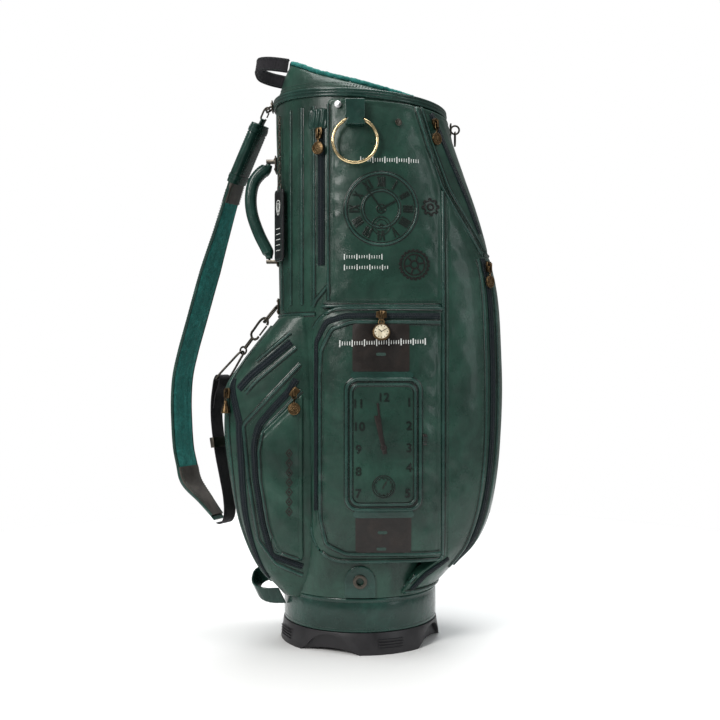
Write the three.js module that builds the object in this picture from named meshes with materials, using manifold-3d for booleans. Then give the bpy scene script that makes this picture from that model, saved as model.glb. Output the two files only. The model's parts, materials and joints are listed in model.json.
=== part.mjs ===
// A leather golf staff bag that stands on a moulded four-foot base.
// Millimetres, +Z up. +X points to the front, where the big ball pocket is, and -X to the spine, which
// carries the shoulder strap and the handle. -Y is the near side. The origin is on the tube's axis, on
// the floor. Soft pieces are thin shells, open towards the tube that they are sewn to.
import * as THREE from "three";
import { ParametricGeometry } from "three/addons/geometries/ParametricGeometry.js";
import { mergeVertices } from "three/addons/utils/BufferGeometryUtils.js";
import Module from "manifold-3d";

const wasm = await Module();
wasm.setup();

// ---------------------------------------------------------------- driving dimensions
const GAP = 0.3; // between touching pieces
const LEATHER = 3; // thickness of a lined leather panel
const LINER = 2; // thickness of the stiff inner tube
const PADDED = 4; // thickness of a padded pocket wall

const COLLAR_RADIUS = 115.5; // outside of the leather collar over the base
const COLLAR_LOW = 31;
const HEM_Z = 80; // bottom hem of the body
const FLOOR_Z = 13; // top of the base's floor plate
const FOOT_RADIUS = 121;
const FOOT_COUNT = 4;
const FOOT_TURN = THREE.MathUtils.degToRad(-68); // the near front foot's centre, from +X

const SEAM_Z = 799; // seam between body and cuff, on the tube's axis
const SEAM_SLOPE = -0.07; // it falls towards the front
const BAND_HALF = 6; // half the height of the band over that seam

const SEAM_X = 118; // upright seam between the side panels and the front pocket
const SIDE_LEFT = -67; // the side pocket's edge next to the spine panel
const SIDE_LOW = 138;
const SIDE_HIGH = 494;
const PANEL_LOW = 503; // the upper side pocket's bottom edge
const FRONT_SPLIT_Z = 573; // between the front's upper and lower pocket
const REAR_LOW = 72;
const REAR_HIGH = 484;

// ---------------------------------------------------------------- small helpers
const { degToRad } = THREE.MathUtils;
const v3 = (x, y, z) => new THREE.Vector3(x, y, z);
const steps = (n) => Array.from({ length: n }, (_, i) => i);

// A smooth function through [input, output] points, level past its ends.
function through(points) {
  const slope = (i) => {
    const [x0, y0] = points[Math.max(i - 1, 0)];
    const [x1, y1] = points[Math.min(i + 1, points.length - 1)];
    return (y1 - y0) / (x1 - x0);
  };
  return (x) => {
    const next = points.findIndex((p) => p[0] >= x);
    if (next === 0) return points[0][1];
    if (next === -1) return points[points.length - 1][1];
    const [x0, y0] = points[next - 1];
    const [x1, y1] = points[next];
    const width = x1 - x0;
    const t = (x - x0) / width;
    return (
      y0 * (1 + 2 * t) * (1 - t) ** 2 +
      width * slope(next - 1) * t * (1 - t) ** 2 +
      y1 * t * t * (3 - 2 * t) +
      width * slope(next) * t * t * (t - 1)
    );
  };
}

// A closed surface through rows of points. A row of one repeated point is a pole.
function loft(rows, closed = false) {
  const all = closed ? [...rows, rows[0]] : rows;
  const across = rows[0].length;
  const place = (u, v, out) =>
    out.copy(all[Math.round(v * (all.length - 1))][Math.round(u * across) % across]);
  return new ParametricGeometry(place, across, all.length - 1);
}

// A geometry as a manifold-3d solid whose faces point out.
function solid(geometry) {
  const bare = geometry.clone();
  for (const name of Object.keys(bare.attributes)) if (name !== "position") bare.deleteAttribute(name);
  const merged = mergeVertices(bare, 1e-3);
  const vertProperties = merged.attributes.position.array;
  const triVerts = new Uint32Array(merged.index.array);
  const made = new wasm.Manifold(new wasm.Mesh({ numProp: 3, vertProperties, triVerts }));
  if (made.volume() > 0) return made;
  return new wasm.Manifold(new wasm.Mesh({ numProp: 3, vertProperties, triVerts: triVerts.reverse() }));
}

// A manifold-3d solid as a geometry.
function geometryOf(made) {
  const { numProp, numVert, vertProperties, triVerts } = made.getMesh();
  const position = new Float32Array(numVert * 3);
  for (const i of steps(numVert)) position.set(vertProperties.subarray(i * numProp, i * numProp + 3), i * 3);
  const out = new THREE.BufferGeometry();
  out.setAttribute("position", new THREE.BufferAttribute(position, 3));
  out.setIndex(new THREE.BufferAttribute(triVerts, 1));
  out.computeVertexNormals();
  return out;
}

const moved = (geometry, x, y, z) => geometry.clone().translate(x, y, z);
const joined = (...geometries) => geometries.map(solid).reduce((a, b) => a.add(b));
const box = (dx, dy, dz, x = 0, y = 0, z = 0) => new THREE.BoxGeometry(dx, dy, dz).translate(x, y, z);
const disc = (r, thick, sides = 20) => new THREE.CylinderGeometry(r, r, thick, sides); // its axis along Y
const ring = (r, wire, around = 20, section = 6) =>
  new THREE.TorusGeometry(r, wire, section, around).rotateX(Math.PI / 2);

// ---------------------------------------------------------------- the tube and the pockets' outer form
const spineReach = through([[HEM_Z, 115.5], [800, 129]]);
const sideReach = through([[HEM_Z, 115.5], [800, 120]]);
const frontReach = through([
  [84, 116], [118, 148], [154, 181], [222, 202], [317, 212], [400, 213],
  [492, 209], [560, 199], [645, 176], [700, 158], [751, 141], [790, 133],
]);
const frontSquareness = through([[84, 2.2], [150, 2.7], [250, 3.3], [500, 3.3], [650, 2.7], [790, 2.2]]);
const rearReach = through([
  [70, 114], [111, 150], [155, 172], [211, 189], [300, 202], [350, 203], [378, 202], [394, 194],
    [440, 158], [487, 118],
]);
const rearHalfWidth = through([[70, 80], [110, 91], [180, 97], [400, 97], [487, 95]]);
const REAR_SQUARENESS = 5;
const TUBE_SQUARENESS = 2.1;

const superRadius = (angle, rx, ry, power) =>
  (Math.abs(Math.cos(angle) / rx) ** power + Math.abs(Math.sin(angle) / ry) ** power) ** (-1 / power);
const tubeRadius = (angle, z) => superRadius(angle, spineReach(z), sideReach(z), TUBE_SQUARENESS);

function frontRadius(angle, z) {
  const least = tubeRadius(angle, z) + PADDED;
  if (Math.cos(angle) <= 0) return least;
  return Math.max(least, superRadius(angle, frontReach(z), sideReach(z) + 3, frontSquareness(z)));
}

function rearRadius(angle, z) {
  if (Math.cos(angle) >= 0) return tubeRadius(angle, z) - LEATHER;
  return superRadius(angle, rearReach(z), rearHalfWidth(z), REAR_SQUARENESS);
}

// How far a side pocket's face stands off, from its edge (0) to its middle (1) each way.
const crown = (t, power) => 1 - Math.min(1, Math.abs(t)) ** power;
function pillow(x, z, [xLow, xHigh, zLow, zHigh], rise) {
  const across = (2 * x - xLow - xHigh) / (xHigh - xLow);
  const up = (2 * z - zLow - zHigh) / (zHigh - zLow);
  return rise * crown(across, 3) * crown(up, 4);
}

const polar = (angle, r, z) => v3(r * Math.cos(angle), r * Math.sin(angle), z);
const angles = (n) => steps(n).map((i) => (i / n) * 2 * Math.PI);
const AROUND = 48; // facets of everything that wraps the tube

// A closed solid whose radius at each angle and level is radiusAt(angle, z).
function polarSolid(radiusAt, levels, around = AROUND) {
  const row = (z) => angles(around).map((angle) => polar(angle, radiusAt(angle, z), z));
  const pole = (z) => steps(around).map(() => v3(0, 0, z));
  return solid(loft([pole(levels[0]), ...levels.map(row), pole(levels.at(-1))]));
}

// A closed band round the tube. profileAt(angle) gives its section as [radius, z] corners.
function band(profileAt, around = AROUND) {
  const sections = angles(around).map((angle) => profileAt(angle).map(([r, z]) => polar(angle, r, z)));
  return solid(loft(sections, true));
}

// An upright slab through an outline of [x, z] corners, from the XZ plane to depth on one side.
function slab(outline, side, depth = 260) {
  const shape = outline instanceof THREE.Shape ? outline : new THREE.Shape(outline.map(([x, z]) =>
    new THREE.Vector2(x, z)));
  const made = new THREE.ExtrudeGeometry(shape, { depth, bevelEnabled: false, curveSegments: 5 });
  made.rotateX(Math.PI / 2);
  return solid(side < 0 ? made : made.translate(0, depth, 0));
}

// A rectangle with its own radius at each corner, from the low left one and counter-clockwise.
function roundedOutline([x0, x1, z0, z1], [lowLeft, lowRight, highRight, highLeft]) {
  const s = new THREE.Shape();
  s.moveTo(x0 + lowLeft, z0);
  s.lineTo(x1 - lowRight, z0);
  if (lowRight) s.absarc(x1 - lowRight, z0 + lowRight, lowRight, -Math.PI / 2, 0);
  s.lineTo(x1, z1 - highRight);
  if (highRight) s.absarc(x1 - highRight, z1 - highRight, highRight, 0, Math.PI / 2);
  s.lineTo(x0 + highLeft, z1);
  if (highLeft) s.absarc(x0 + highLeft, z1 - highLeft, highLeft, Math.PI / 2, Math.PI);
  s.lineTo(x0, z0 + lowLeft);
  if (lowLeft) s.absarc(x0 + lowLeft, z0 + lowLeft, lowLeft, Math.PI, 1.5 * Math.PI);
  return s;
}

// A flat section carried along a path. Each station gives its centre, the direction of its width, and
// the direction of its thickness. The section is a rectangle with its corners cut, and its full size
// is multiplied by scaleAt(share of the path) for width and thickness.
function strapSolid(stations, width, thick, scaleAt = () => [1, 1]) {
  const row = ({ at, across, through: deep }, i) => {
    const [wide, high] = scaleAt(i / (stations.length - 1));
    const [w, t] = [(width * wide) / 2, (thick * high) / 2];
    const cut = Math.min(w, t) * 0.6;
    return [
      [w, t - cut], [w - cut, t], [cut - w, t], [-w, t - cut],
      [-w, cut - t], [cut - w, -t], [w - cut, -t], [w, cut - t],
    ].map(([a, b]) => at.clone().addScaledVector(across, a).addScaledVector(deep, b));
  };
  const pole = ({ at }) => steps(8).map(() => at.clone());
  return solid(loft([pole(stations[0]), ...stations.map(row), pole(stations.at(-1))]));
}

// Stations along a path in the XZ plane. The width leans from Y by the twist, so that the near edge
// lies further from the bag.
function strapStations(points, twist, count) {
  const path = new THREE.CatmullRomCurve3(points.map(([x, z]) => v3(x, 0, z)), false, "centripetal");
  return steps(count + 1).map((i) => {
    const at = path.getPointAt(i / count);
    const along = path.getTangentAt(i / count);
    const out = v3(along.z, 0, -along.x);
    const lean = degToRad(typeof twist === "function" ? twist(at.z) : twist);
    const across = v3(0, Math.cos(lean), 0).addScaledVector(out, -Math.sin(lean));
    return { at, across, through: along.clone().cross(across).normalize() };
  });
}

// Round wire along a path of [x, z] points in the XZ plane.
function wire(points, radius, count, closed = false) {
  const path = new THREE.CatmullRomCurve3(points.map(([x, z]) => v3(x, 0, z)), closed, "centripetal");
  const sides = 6;
  const rowAt = (t) => {
    const at = path.getPointAt(t);
    const along = path.getTangentAt(t);
    const out = v3(along.z, 0, -along.x);
    return steps(sides).map((k) => {
      const turn = (k / sides) * 2 * Math.PI;
      return at.clone().addScaledVector(out, radius * Math.cos(turn)).add(v3(0, radius * Math.sin(turn), 0));
    });
  };
  if (closed) return solid(loft(steps(count).map((i) => rowAt(i / count)), true));
  const pole = (t) => steps(sides).map(() => path.getPointAt(t));
  return solid(loft([pole(0), ...steps(count + 1).map((i) => rowAt(i / count)), pole(1)]));
}

// ---------------------------------------------------------------- materials and the group
const finish = (color, roughness, metalness = 0) =>
  new THREE.MeshStandardMaterial({ color, roughness, metalness });
const MATERIALS = {
  green: finish(0x24473b, 0.42),
  plush: finish(0x0f6a5c, 0.95),
  black: finish(0x1d1b1f, 0.8),
  base: finish(0x2a272c, 0.55),
  brass: finish(0x8c6a3c, 0.38, 1),
  liner: finish(0x3a3d3c, 0.7),
  steel: finish(0x8b8d8f, 0.4, 1),
};
const bag = new THREE.Group();

function add(name, shape, material, { at = [0, 0, 0], turn = [0, 0, 0], parent = bag } = {}) {
  const mesh = new THREE.Mesh(shape.isBufferGeometry ? shape : geometryOf(shape), MATERIALS[material]);
  mesh.name = name;
  mesh.position.set(...at);
  mesh.rotation.set(...turn);
  parent.add(mesh);
  return mesh;
}

// ---------------------------------------------------------------- base
// A floor plate with a skirt, cut by an arch between each two feet, and a centre pad on the floor.
function baseFoot() {
  const profile = [
    [0, 0], [28, 0], [31, 8], [104, 8], [107, 6], [108, 6], [FOOT_RADIUS - 4, 0], [FOOT_RADIUS, 0],
    [FOOT_RADIUS - 1, 9], [COLLAR_RADIUS + 1, COLLAR_LOW - GAP], [109.5, COLLAR_LOW - GAP], [109.5, 100],
    [106.5, 100], [106.5, FLOOR_Z], [0, FLOOR_Z],
  ];
  const body = solid(new THREE.LatheGeometry(profile.map(([r, z]) => new THREE.Vector2(r, z)), AROUND)
    .rotateX(Math.PI / 2));
  const arch = new THREE.Shape();
  arch.moveTo(-48, -1);
  arch.lineTo(-36, 7);
  arch.quadraticCurveTo(-22, 27, 0, 27);
  arch.quadraticCurveTo(22, 27, 36, 7);
  arch.lineTo(48, -1);
  const opening = new THREE.ExtrudeGeometry(arch, { depth: 30, bevelEnabled: false, curveSegments: 5 });
  opening.rotateX(Math.PI / 2).rotateZ(Math.PI / 2).translate(108.5, 0, 0);
  return steps(FOOT_COUNT).reduce((left, i) => {
    const turn = FOOT_TURN + ((i + 0.5) / FOOT_COUNT) * 2 * Math.PI;
    return left.subtract(solid(opening.clone().rotateZ(turn)));
  }, body);
}
add("base_foot", baseFoot(), "base");

const collarProfile = () => [
  [COLLAR_RADIUS - 4, COLLAR_LOW], [COLLAR_RADIUS - 0.5, COLLAR_LOW], [COLLAR_RADIUS, COLLAR_LOW + 2],
  [COLLAR_RADIUS, HEM_Z - 3], [COLLAR_RADIUS - 1, HEM_Z - GAP], [COLLAR_RADIUS - 4, HEM_Z - GAP],
];
add("base_collar", band(collarProfile), "green");

// ---------------------------------------------------------------- tube
const seamZ = (angle) => SEAM_Z + SEAM_SLOPE * tubeRadius(angle, 800) * Math.cos(angle);

// A wall round the tube between two depths below its outer surface, from lowZ up to the seam.
function tubeWall(outer, inner, lowZ, topGap) {
  const heights = [0, 0.5, 1];
  return band((angle) => {
    const top = seamZ(angle) - topGap;
    const zs = heights.map((t) => lowZ + (top - lowZ) * t);
    const low = (depth) => zs.map((z) => [tubeRadius(angle, z) - depth, z]);
    return [...low(outer), ...low(inner).reverse()];
  });
}
add("body_shell", tubeWall(0, LEATHER, HEM_Z, 0), "green");
add("inner_tube", tubeWall(LEATHER + 2 * GAP, LEATHER + 2 * GAP + LINER, HEM_Z, 1), "liner");

const floorPad = new THREE.CylinderGeometry(103, 103, 5, 40).rotateX(Math.PI / 2);
add("floor_pad", floorPad, "plush", { at: [0, 0, FLOOR_Z + GAP + 2.5] });

// Two stays stand on the floor plate, beside the spine, and hold the cuff up.
const STAY_RADIUS = 3;
const stay = new THREE.CylinderGeometry(STAY_RADIUS, STAY_RADIUS, 700, 10).rotateX(Math.PI / 2);
for (const [name, y] of [["stay_rod_near", -34], ["stay_rod_far", 34]])
  add(name, stay, "steel", { at: [-93, y, FLOOR_Z + 5 + 2 * GAP + 350] });

// ---------------------------------------------------------------- cuff
const WING_ANGLE = degToRad(15); // the cuff's two wings stop this far from the spine
const wingHeight = through([[-112, 871], [-85, 852], [-55, 836], [0, 819], [60, 806], [118, 798]]);
const CUFF_LEAN = through([[-1, 17], [-0.5, 12], [0, 8], [1, 11]]); // inward lean at the rim, by cosine
const NOTCH_Z = 839;

function rimRadius(angle) {
  return tubeRadius(angle, 800) - CUFF_LEAN(Math.cos(angle));
}
function rimZ(angle) {
  const fromSpine = Math.abs(Math.atan2(Math.sin(angle), -Math.cos(angle)));
  const share = THREE.MathUtils.smoothstep(fromSpine, WING_ANGLE, WING_ANGLE + degToRad(7.5));
  const wing = wingHeight(rimRadius(angle) * Math.cos(angle));
  return THREE.MathUtils.lerp(Math.min(wing, NOTCH_Z), wing, share);
}
function cuffProfile(angle) {
  const low = seamZ(angle) + GAP;
  const top = rimZ(angle) - 5;
  const [r0, r1] = [tubeRadius(angle, 800), rimRadius(angle)];
  const middle = (low + top) / 2;
  return [[r0, low], [(r0 + r1) / 2 + 2.5, middle], [r1, top], [r1 - 4, top],
    [(r0 + r1) / 2 - 2.5, middle], [r0 - 5.3, low]];
}
add("top_cuff", band(cuffProfile), "green");

// The band rises over the seam and stays clear of the tube inside it.
function bandProfile(angle) {
  const z = seamZ(angle);
  const r = tubeRadius(angle, 800) + GAP;
  return [[r + 0.4, z - BAND_HALF], [r + 3.4, z - BAND_HALF], [r + 3.8, z], [r + 3, z + BAND_HALF],
    [r + 0.4, z + BAND_HALF]];
}
add("cuff_band", band(bandProfile), "green");

// A plush roll along the cuff's rim.
function rollProfile(angle) {
  const [r, z] = [rimRadius(angle) - 3, rimZ(angle) - 5 + 3 * GAP];
  return [[r - 3.5, z], [r + 2.5, z], [r + 3.2, z + 3], [r, z + 6], [r - 4, z + 4]];
}
add("rim_plush", band(rollProfile), "plush");

// ---------------------------------------------------------------- divider
const DIVIDER_SLOPE = -0.13;
const DIVIDER_Z = 792; // top of its bars on the axis
const BAR_HEIGHT = 16;
const BAR_WIDTH = 13;
const CROSS_X = [-37, 37];
const dividerTop = (x) => DIVIDER_Z + DIVIDER_SLOPE * x;

// A straight bar between two points of the plan, with its top on the sloping divider plane.
function bar([x0, y0], [x1, y1], width, drop, height) {
  const along = new THREE.Vector2(x1 - x0, y1 - y0).normalize().multiplyScalar(width / 2);
  const corners = [[x0 - along.y, y0 + along.x], [x0 + along.y, y0 - along.x],
    [x1 + along.y, y1 - along.x], [x1 - along.y, y1 + along.x]];
  const at = (z) => corners.map(([x, y]) => v3(x, y, dividerTop(x) - drop - z));
  const pole = (z) => corners.map(() => v3((x0 + x1) / 2, (y0 + y1) / 2,
    dividerTop((x0 + x1) / 2) - drop - z));
  return solid(loft([pole(0), at(0), at(height), pole(height)]));
}
function dividerFrame() {
  const rim = band((angle) => {
    const r = tubeRadius(angle, 790) - LEATHER - LINER - 2 * GAP - 2.5;
    const top = dividerTop(r * Math.cos(angle));
    return [[r, top - BAR_HEIGHT], [r, top - 3], [r - 3, top], [r - 6, top - 3], [r - 6, top - BAR_HEIGHT]];
  });
  const reach = 112;
  return [
    bar([-reach, 0], [reach, 0], BAR_WIDTH, 1, BAR_HEIGHT - 2),
    ...CROSS_X.map((x) => bar([x, -reach + 7], [x, reach - 7], BAR_WIDTH, 1, BAR_HEIGHT - 2)),
  ].reduce((a, b) => a.add(b), rim);
}
add("divider_frame", dividerFrame(), "plush");

// Full-length fabric walls hang from the frame and keep the clubs apart.
function dividerCurtain() {
  const wallAt = (dx, dy, x) => solid(box(dx, dy, 735, x, 0, FLOOR_Z + 8 + 735 / 2));
  return CROSS_X.map((x) => wallAt(2, 190, x)).reduce((a, b) => a.add(b), wallAt(196, 2, 0));
}
add("divider_curtain", dividerCurtain(), "black");

// A webbing loop bridges the gap between the cuff's wings. It lifts the bag.
const LIFT = { pivot: [-110, 859], width: 21, thick: 2.6, reach: 49, half: 48.5 };
function liftHandle() {
  const { half, reach } = LIFT;
  const path = new THREE.CatmullRomCurve3([
    v3(3, -half, 0), v3(-12, -half + 1, 0), v3(-30, -half + 6, 0), v3(4 - reach, -half + 20, 0),
      v3(-reach, 0, 0),
    v3(4 - reach, half - 20, 0), v3(-30, half - 6, 0), v3(-12, half - 1, 0), v3(3, half, 0),
  ], false, "centripetal");
  const count = 16;
  const stations = steps(count + 1).map((i) => ({
    at: path.getPointAt(i / count),
    across: v3(0, 0, 1),
    through: path.getTangentAt(i / count).cross(v3(0, 0, 1)).normalize(),
  }));
  return strapSolid(stations, LIFT.width, LIFT.thick);
}
add("lift_handle", liftHandle(), "black", { at: [LIFT.pivot[0], 0, LIFT.pivot[1]],
  turn: [0, degToRad(9), 0] });

// ---------------------------------------------------------------- pockets
const bodyLevels = [60, 84, 118, 154, 222, 317, 400, 492, 573, 645, 700, 751, 775, 800];
const tubeEnvelope = polarSolid((angle, z) => tubeRadius(angle, z) + GAP, [60, 80, 323, 567, 812]);
const collarClearance = solid(new THREE.CylinderGeometry(160, 160, 100, 40).rotateX(Math.PI / 2)
  .translate(0, 0, HEM_Z + GAP - 50));

// A pocket is the outer form inside an outline, hollowed to its wall and open towards the tube.
const hollow = (outer, outline, inner, innerOutline) =>
  outer.intersect(outline).subtract(inner.intersect(innerOutline)).subtract(tubeEnvelope)
    .subtract(collarClearance);

const frontForm = (inset) => polarSolid((angle, z) => frontRadius(angle, z) - inset, bodyLevels);
const frontOuter = frontForm(0);
const frontInner = frontForm(PADDED);
const bandLow = (x) => SEAM_Z + SEAM_SLOPE * x - BAND_HALF - 1;

function bothSides(outline) {
  return slab(outline, -1).add(slab(outline, 1));
}
// A side pocket's outline reaches in only as far as the tube, not across it.
const beside = (outline, side) => slab(outline, side).subtract(solid(box(400, 90, 900, 0, 0, 450)));
const lowerFrontOutline = (d) => [
  [61 + 1.5 * d, 84 + d], [82 + d, 109 + d], [SEAM_X + d, 136 + d], [SEAM_X + d, 668 - 2 * d],
  [177 - d, FRONT_SPLIT_Z - GAP - d], [240, FRONT_SPLIT_Z - GAP - d], [240, 84 + d],
];
const upperFrontOutline = (d) => [
  [177 + 2 * d, FRONT_SPLIT_Z + GAP + d], [SEAM_X + 1 + 1.4 * d, 668 + d], [81 + 1.4 * d, bandLow(81) - d],
  [136, bandLow(136) - d], [240, bandLow(136) - d], [240, FRONT_SPLIT_Z + GAP + d],
];
add(
  "front_lower_pocket",
  hollow(frontOuter, bothSides(lowerFrontOutline(0)), frontInner, bothSides(lowerFrontOutline(PADDED))),
  "green",
);
add(
  "front_upper_pocket",
  hollow(frontOuter, bothSides(upperFrontOutline(0)), frontInner, bothSides(upperFrontOutline(PADDED))),
  "green",
);

// A side pocket follows the front form, and swells in the middle of its face.
const SIDE_BOX = [SIDE_LEFT, SEAM_X - 2 * GAP, SIDE_LOW, SIDE_HIGH];
const SIDE_EDGE = 6;
const SIDE_RISE = 13;
const PANEL_BOX = [-46, SEAM_X - 2 * GAP, PANEL_LOW, bandLow(0)];
const PANEL_EDGE = 1.5;
const PANEL_RISE = 4;

function sideForm(limits, edge, rise, inset) {
  const levels = [...new Set([60, 120, limits[2], 160, 200, 260, 330, 400, 450, limits[3], 540, 620, 700,
    760, 805])].sort((a, b) => a - b);
  return polarSolid((angle, z) => swollenRadius(angle, z, limits, edge, rise) - inset, levels);
}
function swollenRadius(angle, z, limits, edge, rise) {
  const base = frontRadius(angle, z) + edge;
  return base + pillow(base * Math.cos(angle), z, limits, rise);
}
const inward = ([x0, x1, z0, z1], d) => [x0 + d, x1 - d, z0 + d, z1 - d];
const sideOuter = sideForm(SIDE_BOX, SIDE_EDGE, SIDE_RISE, 0);
const sideInner = sideForm(SIDE_BOX, SIDE_EDGE, SIDE_RISE, PADDED);
const sideCorners = (d) => [42 - d, 0, 0, 42 - d];
for (const [name, side] of [["side_pocket_near", -1], ["side_pocket_far", 1]]) {
  const outline = beside(roundedOutline(SIDE_BOX, sideCorners(0)), side);
  const inner = beside(roundedOutline(inward(SIDE_BOX, PADDED), sideCorners(PADDED)), side);
  add(name, hollow(sideOuter, outline, sideInner, inner), "green");
}

const panelOuter = sideForm(PANEL_BOX, PANEL_EDGE, PANEL_RISE, 0);
const panelInner = sideForm(PANEL_BOX, PANEL_EDGE, PANEL_RISE, LEATHER);
const panelOutline = (d) => [
  [-57 + d, PANEL_LOW + d], [PANEL_BOX[1] - d, PANEL_LOW + d], [PANEL_BOX[1] - d, 668 - 2 * d],
  [80 - 1.4 * d, bandLow(80) - d], [-46 + d, bandLow(-46) - d], [-46 + d, PANEL_LOW + 22],
];
for (const [name, side] of [["upper_pocket_near", -1], ["upper_pocket_far", 1]])
  add(name, hollow(panelOuter, beside(panelOutline(0), side), panelInner,
    beside(panelOutline(LEATHER), side)), "green");

// The rear pocket is a box behind the spine, with a sloping top.
const rearLevels = [REAR_LOW, 90, 111, 155, 211, 300, 350, 378, 394, 440, REAR_HIGH];
const rearForm = (inset) => polarSolid((angle, z) => rearRadius(angle, z) - inset, rearLevels, 60);
const rearOutline = (d) => [[-230, REAR_LOW], [-30, REAR_LOW], [-30, REAR_HIGH - 1.4 * d],
  [-230, REAR_HIGH - 1.4 * d]];
const rearClear = solid(new THREE.CylinderGeometry(COLLAR_RADIUS + 1, COLLAR_RADIUS + 1, 60, 48)
  .rotateX(Math.PI / 2).translate(0, 0, HEM_Z + GAP - 30));
add(
  "rear_pocket",
  rearForm(0).intersect(bothSides(rearOutline(0)))
    .subtract(rearForm(PADDED).intersect(bothSides(rearOutline(PADDED))))
    .subtract(tubeEnvelope).subtract(rearClear),
  "green",
);

// A small padded pocket on the rear pocket's near face.
const REAR_FACE_Y = -97;
function rearSidePocket() {
  const s = new THREE.Shape();
  s.moveTo(-82, 132);
  s.bezierCurveTo(-116, 134, -128, 160, -136, 200);
  s.bezierCurveTo(-143, 240, -147, 260, -147, 302);
  s.bezierCurveTo(-146, 312, -140, 315, -82, 373);
  s.lineTo(-82, 132);
  const plate = new THREE.ExtrudeGeometry(s, {
    depth: 2.6, bevelEnabled: true, bevelThickness: 1.4, bevelSize: 3, bevelOffset: -3, bevelSegments: 2,
      curveSegments: 6,
  });
  return plate.rotateX(Math.PI / 2).translate(0, REAR_FACE_Y - 2.4, 0);
}
add("rear_side_pocket", solid(rearSidePocket()).subtract(tubeEnvelope), "green");

// ---------------------------------------------------------------- zips: sliders and their pulls
// Both are drawn about the pull's hinge, with -Y away from the bag and +Z up the zip.
const SLIDER_DEPTH = 5; // from the hinge to the surface under the slider
function sliderBody(roll) {
  const outline = [[-4, -7.5], [4, -7.5], [5.5, 3], [4.5, 7.5], [-4.5, 7.5], [-5.5, 3]];
  const shape = new THREE.Shape(outline.map(([x, z]) => new THREE.Vector2(x, z)));
  const plate = new THREE.ExtrudeGeometry(shape, { depth: 3.4, bevelEnabled: false });
  plate.rotateX(Math.PI / 2).translate(0, 4.6, 0).rotateY(roll);
  return joined(plate, box(2.6, 1.6, 10.4, 0, -1.9, 0), box(2.6, 4.2, 1.4, 0, -0.5, 4.5),
    box(2.6, 4.2, 1.4, 0, -0.5, -4.5));
}

// A wire frame round the slider's bridge, a link, and a charm below it.
function pullSolid(charm, charmAt) {
  const half = 3.1;
  const frame = [[-half, 0], [half, 0], [half, -7], [half - 1.2, -9], [1.2 - half, -9], [-half, -7]];
  const bars = frame.map(([x0, z0], i) => {
    const [x1, z1] = frame[(i + 1) % frame.length];
    const length = Math.hypot(x1 - x0, z1 - z0) + 1.1;
    const rod = new THREE.BoxGeometry(1.2, 1.2, length).rotateY(Math.atan2(x1 - x0, z1 - z0));
    return solid(moved(rod, (x0 + x1) / 2, 0, (z0 + z1) / 2));
  });
  const neck = solid(box(2.4, 1.2, -charmAt - 9 + 0.6, 0, 0, (charmAt - 9) / 2));
  return [...bars, neck, charm.translate(0, 0, charmAt)].reduce((a, b) => a.add(b));
}
const medallion = () => solid(disc(9, 2, 18));
const watch = () => solid(disc(11.8, 4, 24)).add(solid(moved(ring(4, 1.1, 10, 4), 0, 0, 14.5)))
  .add(solid(box(4, 3, 4, 0, 0, 11.5)));
const bell = () => solid(new THREE.LatheGeometry([[0, 9], [1.6, 9], [2.6, 4], [6.5, -7], [6.5, -9.5],
  [0, -9.5]].map(([r, z]) => new THREE.Vector2(r, z)), 16).rotateX(Math.PI / 2));

// A zip: at is the hinge point, face the outward direction's angle, roll the track's turn from upright,
// and hang the angle that the pull hangs off the surface.
function zip(name, { at, face, roll = 0, hang = 0, charm = medallion, charmAt = -22 }) {
  const carrier = new THREE.Group();
  carrier.position.set(...at);
  carrier.rotation.set(0, 0, face + Math.PI / 2);
  bag.add(carrier);
  add(`${name}_slider`, sliderBody(roll), "brass", { parent: carrier });
  add(`${name}_pull`, pullSolid(charm(), charmAt), "brass", { parent: carrier, turn: [-hang, 0, 0] });
}

const onTube = (angle, z, off) => [...polar(angle, tubeRadius(angle, z) + off, z)];
const onFront = (angle, z, off) => [...polar(angle, frontRadius(angle, z) + off, z)];
const UPPER_ZIP_ANGLE = degToRad(-117.5);
zip("upper_zip", { at: onTube(UPPER_ZIP_ANGLE, 744, SLIDER_DEPTH + 2), face: UPPER_ZIP_ANGLE });

const SIDE_ZIP_X = 30;
zip("side_zip", { at: [SIDE_ZIP_X, -136, 484], face: -Math.PI / 2, roll: Math.PI / 2, hang: degToRad(17),
  charm: watch, charmAt: -26 });
zip("far_zip", { at: [SIDE_ZIP_X, 136, 484], face: Math.PI / 2, roll: Math.PI / 2, hang: degToRad(17),
  charmAt: -24 });
zip("rear_side_zip", { at: [-94.5, -102.7, 373.5], face: -Math.PI / 2, roll: degToRad(40),
  hang: degToRad(10), charmAt: -24 });

const REAR_CORNER = degToRad(-158);
zip("rear_zip", { at: [...polar(REAR_CORNER, rearRadius(REAR_CORNER, 372) + SLIDER_DEPTH + 3, 372)],
  face: degToRad(-140), charm: bell, charmAt: -20 });

const FRONT_TOP_ANGLE = degToRad(-40);
zip("front_upper_zip", { at: onFront(FRONT_TOP_ANGLE, 762, SLIDER_DEPTH + 3), face: degToRad(-46),
  roll: degToRad(-23) });
const FRONT_ZIP_ANGLE = degToRad(-23.5);
zip("front_zip", { at: onFront(FRONT_ZIP_ANGLE, 556, SLIDER_DEPTH + 4), face: degToRad(-42) });

// ---------------------------------------------------------------- towel ring, studs, base tab
const TOWEL = { x: -7, ringZ: 729, radius: 31.4, wire: 2.3, y: -134 };
const towelTorus = (grow) => solid(new THREE.TorusGeometry(TOWEL.radius, TOWEL.wire + grow, 6, 28)
  .rotateX(Math.PI / 2));
const towelGroup = new THREE.Group();
towelGroup.position.set(TOWEL.x, TOWEL.y, TOWEL.ringZ);
bag.add(towelGroup);
add("towel_ring", towelTorus(0), "brass", { parent: towelGroup });
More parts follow.
